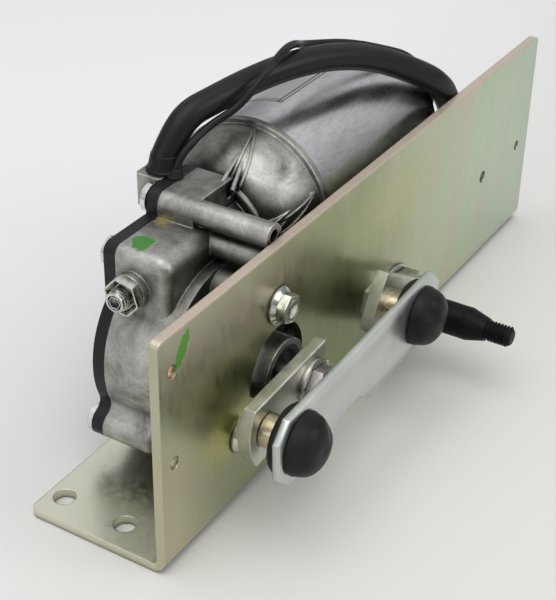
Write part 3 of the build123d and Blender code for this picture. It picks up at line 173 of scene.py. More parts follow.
# %% Helpers for finishes
class Finish:
    """A material with a main shader, and short calls for the nodes that feed it."""

    def __init__(self, name, colour, metal, rough):
        self.material = bpy.data.materials.new(name)
        self.material.use_nodes = True
        self.tree = self.material.node_tree
        self.shader = self.tree.nodes["Principled BSDF"]
        self.shader.inputs["Base Color"].default_value = (*colour, 1)
        self.shader.inputs["Metallic"].default_value = metal
        self.shader.inputs["Roughness"].default_value = rough
        self.place = self.tree.nodes.new("ShaderNodeTexCoord").outputs["Object"]

    def link(self, source, target):
        self.tree.links.new(source, target)

    def stretched(self, scale, at=(0, 0, 0), turn=(0, 0, 0)):
        mapping = self.tree.nodes.new("ShaderNodeMapping")
        mapping.inputs["Location"].default_value = at
        mapping.inputs["Rotation"].default_value = turn
        mapping.inputs["Scale"].default_value = scale
        self.link(self.place, mapping.inputs["Vector"])
        return mapping.outputs["Vector"]

    def noise(self, scale, detail=4.0, rough=0.55, along=(1, 1, 1), distortion=0.0):
        node = self.tree.nodes.new("ShaderNodeTexNoise")
        node.inputs["Scale"].default_value = scale
        node.inputs["Detail"].default_value = detail
        node.inputs["Roughness"].default_value = rough
        node.inputs["Distortion"].default_value = distortion
        self.link(self.stretched(along), node.inputs["Vector"])
        return node.outputs["Fac"]

    def ramp(self, value, stops):
        node = self.tree.nodes.new("ShaderNodeValToRGB")
        elements = node.color_ramp.elements
        while len(elements) < len(stops):
            elements.new(0.5)
        for element, (position, colour) in zip(elements, stops):
            element.position = position
            element.color = (*colour, 1)
        self.link(value, node.inputs["Fac"])
        return node.outputs["Color"]

    def span(self, value, low, high, start=0.0, end=1.0):
        node = self.tree.nodes.new("ShaderNodeMapRange")
        node.inputs["From Min"].default_value = start
        node.inputs["From Max"].default_value = end
        node.inputs["To Min"].default_value = low
        node.inputs["To Max"].default_value = high
        self.link(value, node.inputs["Value"])
        return node.outputs["Result"]

    def mixed(self, first, second, fac, blend="MIX"):
        node = self.tree.nodes.new("ShaderNodeMix")
        node.data_type = "RGBA"
        node.blend_type = blend
        sockets = (node.inputs["Factor"], node.inputs[6], node.inputs[7])
        for socket, value in zip(sockets, (fac, first, second)):
            if isinstance(value, tuple):
                socket.default_value = (*value, 1)
            elif isinstance(value, float):
                socket.default_value = value
            else:
                self.link(value, socket)
        return node.outputs[2]

    def along(self, axis, low, high):
        """Goes from 0 to 1 along one of the part's own axes, between two places in metres."""
        parts = self.tree.nodes.new("ShaderNodeSeparateXYZ")
        self.link(self.place, parts.inputs["Vector"])
        return self.span(parts.outputs[axis], 0.0, 1.0, low, high)

    def sum(self, first, second, share):
        """One value, moved up or down by another: 0 takes the share off, and 1 adds it."""
        node = self.tree.nodes.new("ShaderNodeMath")
        node.operation = "MULTIPLY_ADD"
        self.link(self.span(second, -share, share), node.inputs[0])
        node.inputs[1].default_value = 1.0
        self.link(first, node.inputs[2])
        return node.outputs["Value"]

    def spot(self, middle, reach, soft=0.15, turn=(0, 0, 0), ragged=0.0, scale=300.0):
        """1 inside an ellipsoid round a place, 0 outside it, with a soft or ragged edge."""
        mapping = self.tree.nodes.new("ShaderNodeMapping")
        mapping.vector_type = "TEXTURE"
        mapping.inputs["Location"].default_value = middle
        mapping.inputs["Rotation"].default_value = turn
        mapping.inputs["Scale"].default_value = reach
        self.link(self.place, mapping.inputs["Vector"])
        length = self.tree.nodes.new("ShaderNodeVectorMath")
        length.operation = "LENGTH"
        self.link(mapping.outputs["Vector"], length.inputs[0])
        distance = length.outputs["Value"]
        if ragged:
            distance = self.sum(distance, self.noise(scale, 3.0), ragged)
        return self.span(distance, 1.0, 0.0, 1.0 - soft, 1.0 + soft)

    def times(self, first, second):
        node = self.tree.nodes.new("ShaderNodeMath")
        node.operation = "MULTIPLY"
        self.link(first, node.inputs[0])
        if isinstance(second, float):
            node.inputs[1].default_value = second
        else:
            self.link(second, node.inputs[1])
        return node.outputs["Value"]

    def soften(self, radius):
        """Rounds every sharp edge to the eye, and returns 1 on the edges and 0 on the faces."""
        rounded = self.tree.nodes.new("ShaderNodeBevel")
        rounded.samples = 4
        rounded.inputs["Radius"].default_value = radius
        self.link(rounded.outputs["Normal"], self.shader.inputs["Normal"])
        compare = self.tree.nodes.new("ShaderNodeVectorMath")
        compare.operation = "DOT_PRODUCT"
        self.link(rounded.outputs["Normal"], compare.inputs[0])
        self.link(self.tree.nodes.new("ShaderNodeNewGeometry").outputs["Normal"], compare.inputs[1])
        return self.span(compare.outputs["Value"], 1.0, 0.0, 0.75, 0.98)

    def corners(self, distance):
        """1 in the open and 0 deep in corners, where painted shade goes and, on cast parts, dirt gathers."""
        shade = self.tree.nodes.new("ShaderNodeAmbientOcclusion")
        shade.samples = 6
        shade.inputs["Distance"].default_value = distance
        return shade.outputs["AO"]

    def colour(self, value):
        self.link(value, self.shader.inputs["Base Color"])

    def paint(self, mask, colour):
        """Lays opaque paint over the metal where the mask is 1."""
        base = self.shader.inputs["Base Color"]
        self.colour(self.mixed(base.links[0].from_socket, colour, mask))
        metal = self.shader.inputs["Metallic"]
        bare = self.span(mask, 1.0, 0.0)
        if metal.links:
            bare = self.times(bare, metal.links[0].from_socket)
        self.link(bare, metal)

    def roughness(self, value):
        self.link(value, self.shader.inputs["Roughness"])

    def bump(self, height, depth, strength=0.5):
        node = self.tree.nodes.new("ShaderNodeBump")
        node.inputs["Strength"].default_value = strength
        node.inputs["Distance"].default_value = depth
        self.link(height, node.inputs["Height"])
        if self.shader.inputs["Normal"].links:
            self.link(self.shader.inputs["Normal"].links[0].from_socket, node.inputs["Normal"])
        self.link(node.outputs["Normal"], self.shader.inputs["Normal"])

    def uneven(self, low, high, *noise):
        """Lets the gloss wander between two roughnesses with a noise."""
        self.roughness(self.span(self.noise(*noise), low, high, 0.3, 0.7))

    def grain(self, depth, strength, *noise):
        """Roughens the surface with a noise of some depth in metres."""
        self.bump(self.noise(*noise), depth, strength)

    def shaded_and_dirty(self, tone, distance, stops, share):
        """Darkens a tone deep in corners, by a ramp from the corners to the open: painted shade, with dirt
        as well on cast parts.
        """
        return self.mixed(tone, self.ramp(self.corners(distance), stops), share, "MULTIPLY")


def dress(finish, *names):
    """Gives a finish to parts by name."""
    for name in names:
        mesh = nodes[name].data
        mesh.materials.clear()
        mesh.materials.append(finish.material)


# %% [markdown]
# ### Passivated zinc
#
# The bracket is zinc plated and dipped in a passivate, which leaves a thin film that drifts between
# green, olive, yellow and pink. A ramp along the plate gives the slow drift, and with it painted
# shade: the plate mirrors the shaded floor in front of it, so it is painted a darker olive left of
# the middle. Stretched noises give the streaks, soft spots give the patches where the film is
# thickest, and the dark olive spots are a painted reflection of shade. The Bevel node shows where
# the edges are, because the film is thin and pinkish there.

# %% Film on the bracket
plate_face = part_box("bracket")[0][1]
film_zinc = Finish("film_zinc", (0.5, 0.5, 0.4), 1.0, 0.34)
cloud = film_zinc.noise(14.0, 4.0, 0.55, (1, 1, 0.7), 0.5)
streak = film_zinc.noise(38.0, 4.0, 0.55, (1, 1, 0.10))
fine = film_zinc.noise(420.0, 4.0, 0.6, (1, 1, 0.25))
# The ramp along x is the film's drift plus a painted reflection of shade: darker olive left of the middle.
film_drift_and_shade = film_zinc.sum(film_zinc.along("X", -0.15, 0.15), cloud, 0.20)
film = film_zinc.ramp(film_drift_and_shade, [
    (0.00, (0.47, 0.47, 0.36)), (0.10, (0.42, 0.43, 0.29)), (0.20, (0.37, 0.39, 0.22)),
    (0.34, (0.33, 0.37, 0.21)), (0.48, (0.40, 0.44, 0.27)), (0.62, (0.50, 0.56, 0.38)),
    (0.80, (0.52, 0.60, 0.43)), (1.00, (0.50, 0.60, 0.49)),
])
edge = film_zinc.soften(0.0007)
# The first three patches, dark olive, are painted shade: the plate's reflection of the shaded floor in front
# of it. The rest are the film's own colour.
# Patches: middle along x and z, reach along x and z, tint and strength.
for (x, z), (wide, high), tint, amount in (
    ((-0.050, 0.064), (0.040, 0.024), (0.20, 0.24, 0.09), 0.38),
    ((-0.022, 0.046), (0.030, 0.020), (0.20, 0.24, 0.08), 0.30),
    ((-0.118, 0.056), (0.022, 0.022), (0.30, 0.28, 0.08), 0.55),
    ((-0.110, 0.036), (0.014, 0.010), (0.62, 0.60, 0.12), 0.50),
    ((0.010, 0.072), (0.030, 0.012), (0.52, 0.52, 0.24), 0.45),
    ((-0.098, 0.080), (0.034, 0.010), (0.60, 0.47, 0.42), 0.50),
    ((-0.140, 0.030), (0.012, 0.040), (0.62, 0.58, 0.36), 0.50),
    ((-0.062, 0.014), (0.050, 0.012), (0.50, 0.56, 0.30), 0.45),
    ((0.112, 0.070), (0.030, 0.026), (0.58, 0.68, 0.52), 0.45),
):
    film_and_shade_patch = film_zinc.spot((x, plate_face, z), (wide, 0.03, high), 0.75, (0, 0, 0), 0.35, 60.0)
    film = film_zinc.mixed(film, tint, film_zinc.times(film_and_shade_patch, amount))
mottle = film_zinc.noise(24.0, 5.0, 0.62, (1, 1, 0.8), 0.8)
film = film_zinc.mixed(film, (0.66, 0.50, 0.46), film_zinc.span(mottle, 0.0, 0.34, 0.52, 0.72))
film = film_zinc.mixed(film, (0.42, 0.56, 0.34), film_zinc.span(mottle, 0.34, 0.0, 0.28, 0.48))
# The foot lies behind the plate's face, and its film is paler.
foot = film_zinc.along("Y", -0.0355, -0.0335)
foot_film = film_zinc.ramp(cloud, [(0.35, (0.60, 0.61, 0.45)), (0.65, (0.74, 0.74, 0.62))])
film = film_zinc.mixed(film, foot_film, foot)
pink = film_zinc.times(film_zinc.span(streak, 0.0, 0.6, 0.52, 0.70), film_zinc.along("X", -0.16, 0.04))
film = film_zinc.mixed(film, (0.62, 0.50, 0.47), pink)
blue = film_zinc.times(film_zinc.span(streak, 0.45, 0.0, 0.30, 0.46), film_zinc.along("X", 0.02, 0.12))
film = film_zinc.mixed(film, (0.45, 0.58, 0.56), blue)
film = film_zinc.mixed(film, (0.70, 0.50, 0.47), film_zinc.times(edge, 0.85))
# The sheared top edge has less gloss, and one hole is bare and coppery inside.
top_edge = film_zinc.along("Z", 0.0936, 0.0948)
film = film_zinc.mixed(film, (0.70, 0.58, 0.50), film_zinc.times(top_edge, 0.8))
copper_hole = film_zinc.spot((-0.1425, -0.0366, 0.0810), (0.0035, 0.0016, 0.0035), 0.3)
film = film_zinc.mixed(film, (0.85, 0.50, 0.36), copper_hole)
# Painted shade darkens the film deep in corners, such as round the bolt flanges and where the foot meets the
# plate.
film_zinc.colour(film_zinc.shaded_and_dirty(film, 0.0035, [(0.40, (0.10, 0.11, 0.06)), (0.85, (1, 1, 1))], 0.9))
stroke_place, stroke_reach = (-0.1368, plate_face, 0.0860), (0.0026, 0.006, 0.0068)
stroke = film_zinc.spot(stroke_place, stroke_reach, 0.12, (0, math.radians(30), 0), 0.7, 420.0)
film_zinc.paint(stroke, (0.06, 0.22, 0.012))
film_zinc.roughness(film_zinc.sum(
    film_zinc.sum(film_zinc.span(fine, 0.37, 0.50, 0.3, 0.7), streak, 0.05), top_edge, 0.1,
))
film_zinc.grain(0.00004, 0.25, 900.0, 3.0)
film_zinc.grain(0.0012, 0.12, 22.0, 2.0, 0.4)
dress(film_zinc, "bracket")

# %% [markdown]
# ### Arms
#
# The crank and the rocker are forged and plated with the same film, but small pieces tumble in the
# barrel while they are plated, so their film is even and their edges are rubbed bright.

# %% Film on the arms
arm_zinc = Finish("arm_zinc", (0.5, 0.5, 0.42), 1.0, 0.36)
arm_edge = arm_zinc.soften(0.0005)
arm_film = arm_zinc.ramp(arm_zinc.noise(90.0, 5.0, 0.6), [
    (0.3, (0.42, 0.43, 0.35)), (0.5, (0.56, 0.56, 0.48)), (0.7, (0.68, 0.67, 0.60)),
])
arm_zinc.colour(arm_zinc.mixed(arm_film, (0.78, 0.77, 0.70), arm_zinc.times(arm_edge, 0.8)))
arm_zinc.uneven(0.28, 0.48, 240.0, 5.0)
arm_zinc.grain(0.00006, 0.4, 700.0, 4.0)
dress(arm_zinc, "crank_arm", "rocker_arm", "crank_stud_tail", "rocker_stud_nut")

# %% [markdown]
# ### Bright zinc
#
# Screws, washers and the link are plated too, but left clear, with a bluish white shine. The ball
# studs keep a yellow tint. The link's plate is rolled, so its gloss is cloudier than a screw's.

# %% Bright zinc
bright = Finish("bright_zinc", (0.72, 0.73, 0.71), 1.0, 0.24)
bright.soften(0.0003)
bright_tone = bright.ramp(bright.noise(120.0, 4.0), [(0.3, (0.60, 0.61, 0.57)), (0.7, (0.80, 0.80, 0.78))])
# Painted shade darkens the bright zinc deep in its corners and crevices.
bright.colour(bright.shaded_and_dirty(bright_tone, 0.0018, [(0.35, (0.08, 0.08, 0.07)), (0.85, (1, 1, 1))], 0.95))
bright.uneven(0.16, 0.34, 300.0, 4.0)
bright.grain(0.00002, 0.3, 1500.0, 2.0)
dress(
    bright, "pivot_washer", "crank_washer", "set_screw", "cover_screws", "spindle_clip", "output_shaft",
    "thrust_ball",
)

link_plate = Finish("link_zinc", (0.60, 0.62, 0.61), 1.0, 0.34)
link_cloud = link_plate.noise(30.0, 5.0, 0.6)
link_film = link_plate.ramp(link_cloud, [
    (0.3, (0.50, 0.53, 0.53)), (0.55, (0.60, 0.62, 0.60)), (0.72, (0.68, 0.69, 0.66)),
])
# The stamped edges are painted near white: a painted highlight.
link_edge_highlight = link_plate.soften(0.0004)
link_plate.colour(link_plate.mixed(link_film, (0.86, 0.87, 0.83), link_edge_highlight))
link_plate.uneven(0.27, 0.44, 60.0, 6.0)
link_plate.grain(0.00004, 0.35, 900.0, 3.0)

yellow_zinc = Finish("yellow_zinc", (0.62, 0.55, 0.40), 1.0, 0.22)
yellow_zinc.soften(0.0003)
yellow_tone = yellow_zinc.ramp(yellow_zinc.noise(160.0, 5.0), [
    (0.3, (0.42, 0.37, 0.24)), (0.7, (0.72, 0.64, 0.48)),
])
yellow_zinc.colour(yellow_tone)
yellow_zinc.uneven(0.14, 0.32, 400.0, 4.0, 0.5, (1, 4, 1))
dress(yellow_zinc, "link_ball_stud", "rocker_ball_stud")

# %% [markdown]
# ### Cast aluminium
#
# The housings are die castings: mid grey, mottled, a little brighter on the edges where they have
# been handled, and dark in the corners, partly from oil and dust that stay there and partly as
# painted shade. Two noises mottle the colour, the ambient occlusion node finds the corners and the
# Bevel node finds the edges.

# %% Cast aluminium
cast = Finish("cast_aluminium", (0.40, 0.39, 0.37), 1.0, 0.48)
cast_edge = cast.soften(0.0009)
stain = cast.noise(70.0, 8.0, 0.65, (1, 1, 1), 0.6)
tone = cast.ramp(stain, [
    (0.30, (0.17, 0.165, 0.15)), (0.43, (0.31, 0.305, 0.285)),
    (0.55, (0.42, 0.415, 0.39)), (0.72, (0.58, 0.57, 0.54)),
])
speckle = cast.ramp(cast.noise(900.0, 5.0, 0.7), [(0.32, (0.55, 0.55, 0.54)), (0.5, (1.0, 1.0, 1.0))])
tone = cast.mixed(tone, speckle, 0.55, "MULTIPLY")
# Dark in corners: oil and dust, plus painted shade in the recesses and on the block's side by the plate.
tone = cast.shaded_and_dirty(tone, 0.030, [
    (0.30, (0.12, 0.115, 0.10)), (0.62, (0.62, 0.62, 0.60)), (0.90, (1.0, 1.0, 1.0)),
], 0.92)
worn = cast.times(cast_edge, cast.span(cast.noise(220.0, 5.0, 0.6), 0.1, 0.95, 0.38, 0.6))
tone = cast.mixed(tone, (0.74, 0.735, 0.71), worn)
cast.colour(tone)
# A dab of green inspection paint, and a smear of yellow sealant by the cover.
dab = cast.spot((-0.0959, 0.0058, 0.0913), (0.0046, 0.0042, 0.003), 0.06, (0, 0, 0.4), 0.9, 300.0)
cast.paint(dab, (0.03, 0.17, 0.016))
sealant = cast.spot((-0.0798, 0.0090, 0.0917), (0.0034, 0.0036, 0.0014), 0.3, (0, 0, 0), 1.6, 700.0)
cast.paint(cast.times(sealant, 0.75), (0.26, 0.21, 0.03))
cast.uneven(0.36, 0.58, 160.0, 6.0, 0.6)
cast.grain(0.00012, 0.35, 420.0, 5.0)
cast.grain(0.00006, 0.35, 1500.0, 3.0)
dress(cast, "gear_housing", "pivot_housing", "gland_block")

# %% [markdown]
# ### Motor can
#
# The can is deep drawn from sheet steel, which leaves faint marks along it. Noises stretched along
# the can's axis give both its smears and its grain.

# %% Motor can
drawn = Finish("drawn_steel", (0.40, 0.40, 0.39), 1.0, 0.3)
smear = drawn.noise(34.0, 6.0, 0.6, (0.35, 1, 1), 0.4)
can_tone = drawn.ramp(smear, [
    (0.3, (0.42, 0.42, 0.415)), (0.55, (0.62, 0.625, 0.62)), (0.75, (0.74, 0.73, 0.70)),
])
draw_marks = drawn.ramp(drawn.noise(700.0, 4.0, 0.6, (0.3, 1, 1)), [
    (0.35, (0.7, 0.7, 0.7)), (0.55, (1, 1, 1)),
])
drawn.colour(drawn.mixed(can_tone, draw_marks, 0.5, "MULTIPLY"))
drawn.uneven(0.20, 0.38, 80.0, 5.0, 0.6, (0.3, 1, 1))
drawn.grain(0.00003, 0.3, 900.0, 3.0, 0.5, (0.08, 1, 1))
dress(drawn, "motor_can")

# %% [markdown]
# ### Black plastic, rubber and paint
#
# Black things are told apart by their gloss. Their specular level is low, because a matt black
# that mirrors a pale room turns grey.

# %% Black plastic, rubber and paint
cover_black = Finish("cover_black", (0.011, 0.012, 0.012), 0.0, 0.42)
cover_black.shader.inputs["Specular IOR Level"].default_value = 0.22
cover_black.soften(0.0006)
cover_black.uneven(0.34, 0.52, 200.0, 4.0)
cover_black.grain(0.00004, 0.35, 1300.0, 3.0)
dress(cover_black, "rear_cover", "connector")

rubber = Finish("black_rubber", (0.010, 0.011, 0.012), 0.0, 0.5)
rubber.shader.inputs["Specular IOR Level"].default_value = 0.17
rubber.colour(rubber.ramp(rubber.noise(90.0, 4.0), [
    (0.35, (0.005, 0.006, 0.006)), (0.7, (0.013, 0.014, 0.014)),
]))
rubber.uneven(0.36, 0.54, 160.0, 5.0)
rubber.grain(0.00004, 0.3, 1100.0, 3.0)
dress(rubber, "seal_rings", "cable_gland", "shaft_seal")

black_steel = Finish("black_steel", (0.004, 0.005, 0.005), 0.0, 0.5)
black_steel.shader.inputs["Specular IOR Level"].default_value = 0.12
black_steel.uneven(0.34, 0.6, 250.0, 5.0)
black_steel.grain(0.00006, 0.5, 1400.0, 3.0)
dress(black_steel, "spindle_shaft")

# %% [markdown]
# ### Label
#
# The label is a bare metallised film with a thin border. The border could be a texture with its own
# UV map, but two distances are enough here: how far along the can, and how far round it.

# %% Label
label_film = Finish("label_film", (0.36, 0.36, 0.355), 0.7, 0.34)
label_low, label_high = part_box("name_label")
can_low, can_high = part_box("motor_can")
can_middle = [(low + high) / 2 for low, high in zip(can_low, can_high)]
label_film.uneven(0.28, 0.42, 70.0, 4.0)
label_parts = label_film.tree.nodes.new("ShaderNodeSeparateXYZ")
from_can = label_film.stretched((1, 1, 1), at=[-value for value in can_middle])
label_film.link(from_can, label_parts.inputs["Vector"])
round_can = label_film.tree.nodes.new("ShaderNodeMath")
round_can.operation = "ARCTAN2"
label_film.link(label_parts.outputs["Y"], round_can.inputs[0])
label_film.link(label_parts.outputs["Z"], round_can.inputs[1])
label_ends = [label_low[0] - can_middle[0], label_high[0] - can_middle[0]]
label_sides = [
    math.atan2(label_low[1] - can_middle[1], label_high[2] - can_middle[2]),
    math.atan2(label_high[1] - can_middle[1], label_low[2] - can_middle[2]),
]
print("label runs along the can, in mm:", [round(1000 * end) for end in label_ends])
print("label runs round the can, in degrees:", [round(math.degrees(side)) for side in label_sides])


def border_line(value, place, width):
    """1 on a thin line where the value passes a place."""
    offset = label_film.tree.nodes.new("ShaderNodeMath")
    offset.operation = "COMPARE"
    label_film.link(value, offset.inputs[0])
    offset.inputs[1].default_value = place
    offset.inputs[2].default_value = width
    return offset.outputs["Value"]


border_ink = (0.05, 0.05, 0.055)
label_tone = label_film.mixed((0.44, 0.44, 0.435), (0.52, 0.52, 0.51), label_film.noise(60.0, 3.0))
# The line lies 1.2 mm inside the edge, which is 0.036 radians round the can.
for end, inward in zip(label_ends, (1, -1)):
    line = border_line(label_parts.outputs["X"], end + inward * 0.0012, 0.0003)
    label_tone = label_film.mixed(label_tone, border_ink, line)
for side, inward in zip(label_sides, (1, -1)):
    line = border_line(round_can.outputs["Value"], side + inward * 0.036, 0.009)
    label_tone = label_film.mixed(label_tone, border_ink, line)
label_film.colour(label_tone)
dress(label_film, "name_label")

# %% [markdown]
# ### Inside the drive
#
# These parts show only when the drive is opened: bronze bushes, resin boards, carbon brushes,
# ferrite magnets and the wound armature. Each gets one or two nodes. The stack of sheets in the
# core and the turns of wire come from the Wave texture, in place of modelling hundreds of them.

# %% Finishes inside the drive
bronze = Finish("sintered_bronze", (0.52, 0.36, 0.17), 1.0, 0.4)
bronze.colour(bronze.ramp(bronze.noise(900.0, 3.0), [(0.3, (0.40, 0.27, 0.12)), (0.7, (0.60, 0.43, 0.22))]))
bronze.grain(0.00003, 0.4, 2500.0, 2.0)
dress(
    bronze, "end_bush", "worm_bush", "output_bushes", "pivot_bushes", "brush_holders", "park_disc",
    "park_contacts",
)

board = Finish("resin_board", (0.22, 0.10, 0.04), 0.0, 0.5)
board.colour(board.ramp(board.noise(400.0, 5.0), [(0.3, (0.16, 0.07, 0.03)), (0.7, (0.28, 0.14, 0.06))]))
dress(board, "brush_plate", "park_switch_base")

carbon = Finish("brush_carbon", (0.03, 0.03, 0.03), 0.2, 0.5)
carbon.grain(0.00004, 0.4, 2000.0, 3.0)
dress(carbon, "brushes")

ferrite = Finish("ferrite", (0.05, 0.05, 0.055), 0.3, 0.45)
ferrite.grain(0.00005, 0.4, 1200.0, 4.0)
dress(ferrite, "magnets")

ground = Finish("ground_steel", (0.62, 0.62, 0.62), 1.0, 0.18)
ground.grain(0.00002, 0.3, 900.0, 2.0, 0.5, (6, 1, 1))
dress(ground, "armature_shaft")

lamination = Finish("laminated_core", (0.3, 0.3, 0.31), 1.0, 0.4)
sheets = lamination.tree.nodes.new("ShaderNodeTexWave")
sheets.bands_direction = "X"
sheets.inputs["Scale"].default_value = 314.0
lamination.link(lamination.place, sheets.inputs["Vector"])
lamination.bump(sheets.outputs["Fac"], 0.0001, 0.6)
dress(lamination, "armature_core")

enamel = Finish("enamelled_wire", (0.48, 0.14, 0.05), 0.7, 0.3)
turns = enamel.tree.nodes.new("ShaderNodeTexWave")
turns.bands_direction = "DIAGONAL"
turns.inputs["Scale"].default_value = 220.0
turns.inputs["Distortion"].default_value = 2.0
enamel.link(enamel.place, turns.inputs["Vector"])
enamel.bump(turns.outputs["Fac"], 0.0004, 0.8)
dress(enamel, "windings")

copper = Finish("copper_bars", (0.72, 0.34, 0.18), 1.0, 0.25)
copper.uneven(0.2, 0.4, 500.0, 3.0, 0.5, (8, 1, 1))
dress(copper, "commutator")

acetal = Finish("acetal", (0.74, 0.70, 0.58), 0.0, 0.35)
acetal.uneven(0.3, 0.45, 200.0, 4.0)
dress(acetal, "worm_wheel", "ball_cups")
print("finishes so far:", len(bpy.data.materials))

# %% [markdown]
# ## Pieces made by hand
#
# The solids leave out what only matters to the eye: turned nut corners, threads, ribs and the soft
# dust caps. Most are made from a primitive at the world's origin, along +z, then turned and moved
# to their seat, and their place is applied to their mesh. Building them in place would work too, but
# round things are easier to size and check when their axis is z.

# %% Helpers for pieces
towards_front = Matrix.Rotation(math.radians(90), 4, "X")
towards_left = Matrix.Rotation(math.radians(-90), 4, "Y")
in_place = Matrix.Identity(4)
origin = (0, 0, 0)


def start(add, **sizes):
    """Adds a primitive with nothing else selected."""
    if bpy.context.object and bpy.context.object.mode != "OBJECT":
        bpy.ops.object.mode_set(mode="OBJECT")
    bpy.ops.object.select_all(action="DESELECT")
    add(**sizes)
    return bpy.context.object


def choose(piece):
    """Makes a piece the only selected one, and the active one."""
    bpy.ops.object.select_all(action="DESELECT")
    piece.select_set(True)
    bpy.context.view_layer.objects.active = piece


def apply_modifier(piece, kind, **settings):
    """Adds a modifier and applies it at once."""
    choose(piece)
    modifier = piece.modifiers.new(kind.lower(), kind)
    for key, value in settings.items():
        setattr(modifier, key, value)
    bpy.ops.object.modifier_apply(modifier=modifier.name)


def combine(piece, tool, operation):
    """Cuts with a tool, joins it or keeps what both share, and throws the tool away."""
    apply_modifier(piece, "BOOLEAN", object=tool, operation=operation, solver="EXACT")
    bpy.data.objects.remove(tool)


def seat(piece, name, middle, facing, finish, body, slot, *stands_for):
    """Moves a finished shape to its seat, applies its place and hands it to a body."""
    piece.name = name
    piece.matrix_world = Matrix.Translation(middle) @ facing @ piece.matrix_basis
    choose(piece)
    bpy.ops.object.transform_apply(location=True, rotation=True, scale=True)
    bpy.ops.object.shade_smooth_by_angle(angle=math.radians(32))
    piece.data.materials.clear()
    piece.data.materials.append(finish.material)
    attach(piece, body)
    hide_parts(*stands_for)
    print(name, "has", len(piece.data.polygons), "faces")


def middle_of(name):
    """The middle of a node's box."""
    return [(low + high) / 2 for low, high in zip(*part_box(name))]


# %% [markdown]
# ### Nuts
#
# A nut is a hexagonal bar, turned to a cone at both ends, so each corner ends in a curved chamfer.
# Sharing the space of a six-sided and a chamfered round cylinder gives just that curve, which a
# plain bevel of the corners doesn't.


# %% Hexagons
def soften_edges(piece, width, angle=0.5):
    """Rounds the edges that are sharper than an angle in radians."""
    apply_modifier(piece, "BEVEL", width=width, segments=2, limit_method="ANGLE", angle_limit=angle)


def hexagon(flats, height, turn, chamfer_both=True):
    """A hexagonal bar along z from 0 to its height, with turned corners."""
    corner = flats / math.sqrt(3)
    bar = start(
        bpy.ops.mesh.primitive_cylinder_add, vertices=6, radius=corner, depth=height,
        location=(0, 0, height / 2), rotation=(0, 0, turn),
    )
    length = height if chamfer_both else 2 * height
    turned = start(
        bpy.ops.mesh.primitive_cylinder_add, vertices=72, radius=0.995 * corner, depth=length,
        location=(0, 0, height - length / 2),
    )
    chamfer = 0.42 * (corner - flats / 2)
    apply_modifier(turned, "BEVEL", width=chamfer, segments=1, limit_method="ANGLE", angle_limit=1.0)
    combine(bar, turned, "INTERSECT")
    return bar


def nut(flats, height, turn, bore):
    """A hexagon with a round bore right through it."""
    made = hexagon(flats, height, turn)
    drill = start(
        bpy.ops.mesh.primitive_cylinder_add, vertices=48, radius=bore, depth=3 * height,
        location=(0, 0, height / 2),
    )
    combine(made, drill, "DIFFERENCE")
    soften_edges(made, 0.00012)
    return made


# %% Finishes of nuts and bolts
steel = Finish("nut_zinc", (0.56, 0.57, 0.52), 1.0, 0.2)
steel_tone = steel.ramp(steel.noise(300.0, 5.0), [(0.3, (0.42, 0.44, 0.38)), (0.6, (0.66, 0.67, 0.62))])
# Painted shade darkens the crevices, such as the dark ring where a bolt's flange meets the plate.
steel.colour(steel.shaded_and_dirty(steel_tone, 0.0028, [(0.40, (0.04, 0.04, 0.03)), (0.90, (1, 1, 1))], 0.95))
steel.uneven(0.13, 0.30, 500.0, 5.0)
steel.grain(0.00004, 0.35, 1200.0, 3.0)

dull = Finish("nut_dull", (0.40, 0.37, 0.38), 1.0, 0.36)
dull.colour(dull.ramp(dull.noise(200.0, 5.0), [(0.3, (0.28, 0.26, 0.26)), (0.7, (0.50, 0.46, 0.47))]))
dull.uneven(0.26, 0.44, 400.0, 5.0)
dull.grain(0.00006, 0.4, 900.0, 4.0)

# %% Nuts
# The lock nut has a six-sided hollow in its face, which leaves a thin rim.
lock_turn = math.radians(-12)
low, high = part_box("lock_nut")
lock_height = high[0] - low[0]
lock = nut(0.013, lock_height, lock_turn, 0.0036)
hollow = start(
    bpy.ops.mesh.primitive_cone_add, vertices=6, radius1=0.0052, radius2=0.0070, depth=0.0016,
    location=(0, 0, lock_height - 0.0006), rotation=(0, 0, lock_turn),
)
combine(lock, hollow, "DIFFERENCE")
_, lock_y, lock_z = middle_of("lock_nut")
seat(
    lock, "lock_nut_hex", (high[0], lock_y, lock_z), towards_left, steel, "base", "bright_steel", "lock_nut",
)
for node, flats, turn, bore, finish, body in (
    ("crank_nut", 0.013, 18, 0.00405, dull, "crank"),
    ("pivot_nut", 0.025, 20, 0.0085, steel, "base"),
):
    low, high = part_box(node)
    made = nut(flats, high[1] - low[1], math.radians(turn), bore)
    x, _, z = middle_of(node)
    seat(made, node + "_hex", (x, high[1], z), towards_front, finish, body, "bright_steel", node)

# %% [markdown]
# ### Flange bolts
#
# Three bolts hold the gearbox to the plate. The head is a hexagon on a dished washer face, forged
# in one piece, with a hollow in its top. One bolt is made and copied to the other two places.

# %% Flange bolts
rim_radius = 0.0072
bolt_low, bolt_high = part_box("mounting_bolts")
head_height = plate_face - bolt_low[1]
shank_length = bolt_high[1] - plate_face
head = hexagon(0.010, head_height, math.radians(8), chamfer_both=False)
hollow = start(
    bpy.ops.mesh.primitive_uv_sphere_add, segments=48, ring_count=24, radius=0.0078,
    location=(0, 0, head_height + 0.0069),
)
combine(head, hollow, "DIFFERENCE")
rim = start(
    bpy.ops.mesh.primitive_cylinder_add, vertices=64, radius=rim_radius, depth=0.0010,
    location=(0, 0, 0.0005),
)
bpy.ops.object.mode_set(mode="EDIT")
bpy.ops.mesh.select_all(action="DESELECT")
shell = bmesh.from_edit_mesh(rim.data)
for face in shell.faces:
    face.select_set(face.normal.z > 0.9)
bpy.ops.mesh.inset(thickness=0.0003)
bpy.ops.mesh.extrude_region_move(TRANSFORM_OT_translate={"value": (0, 0, 0.0013)})
bpy.ops.transform.resize(value=(0.80, 0.80, 1))
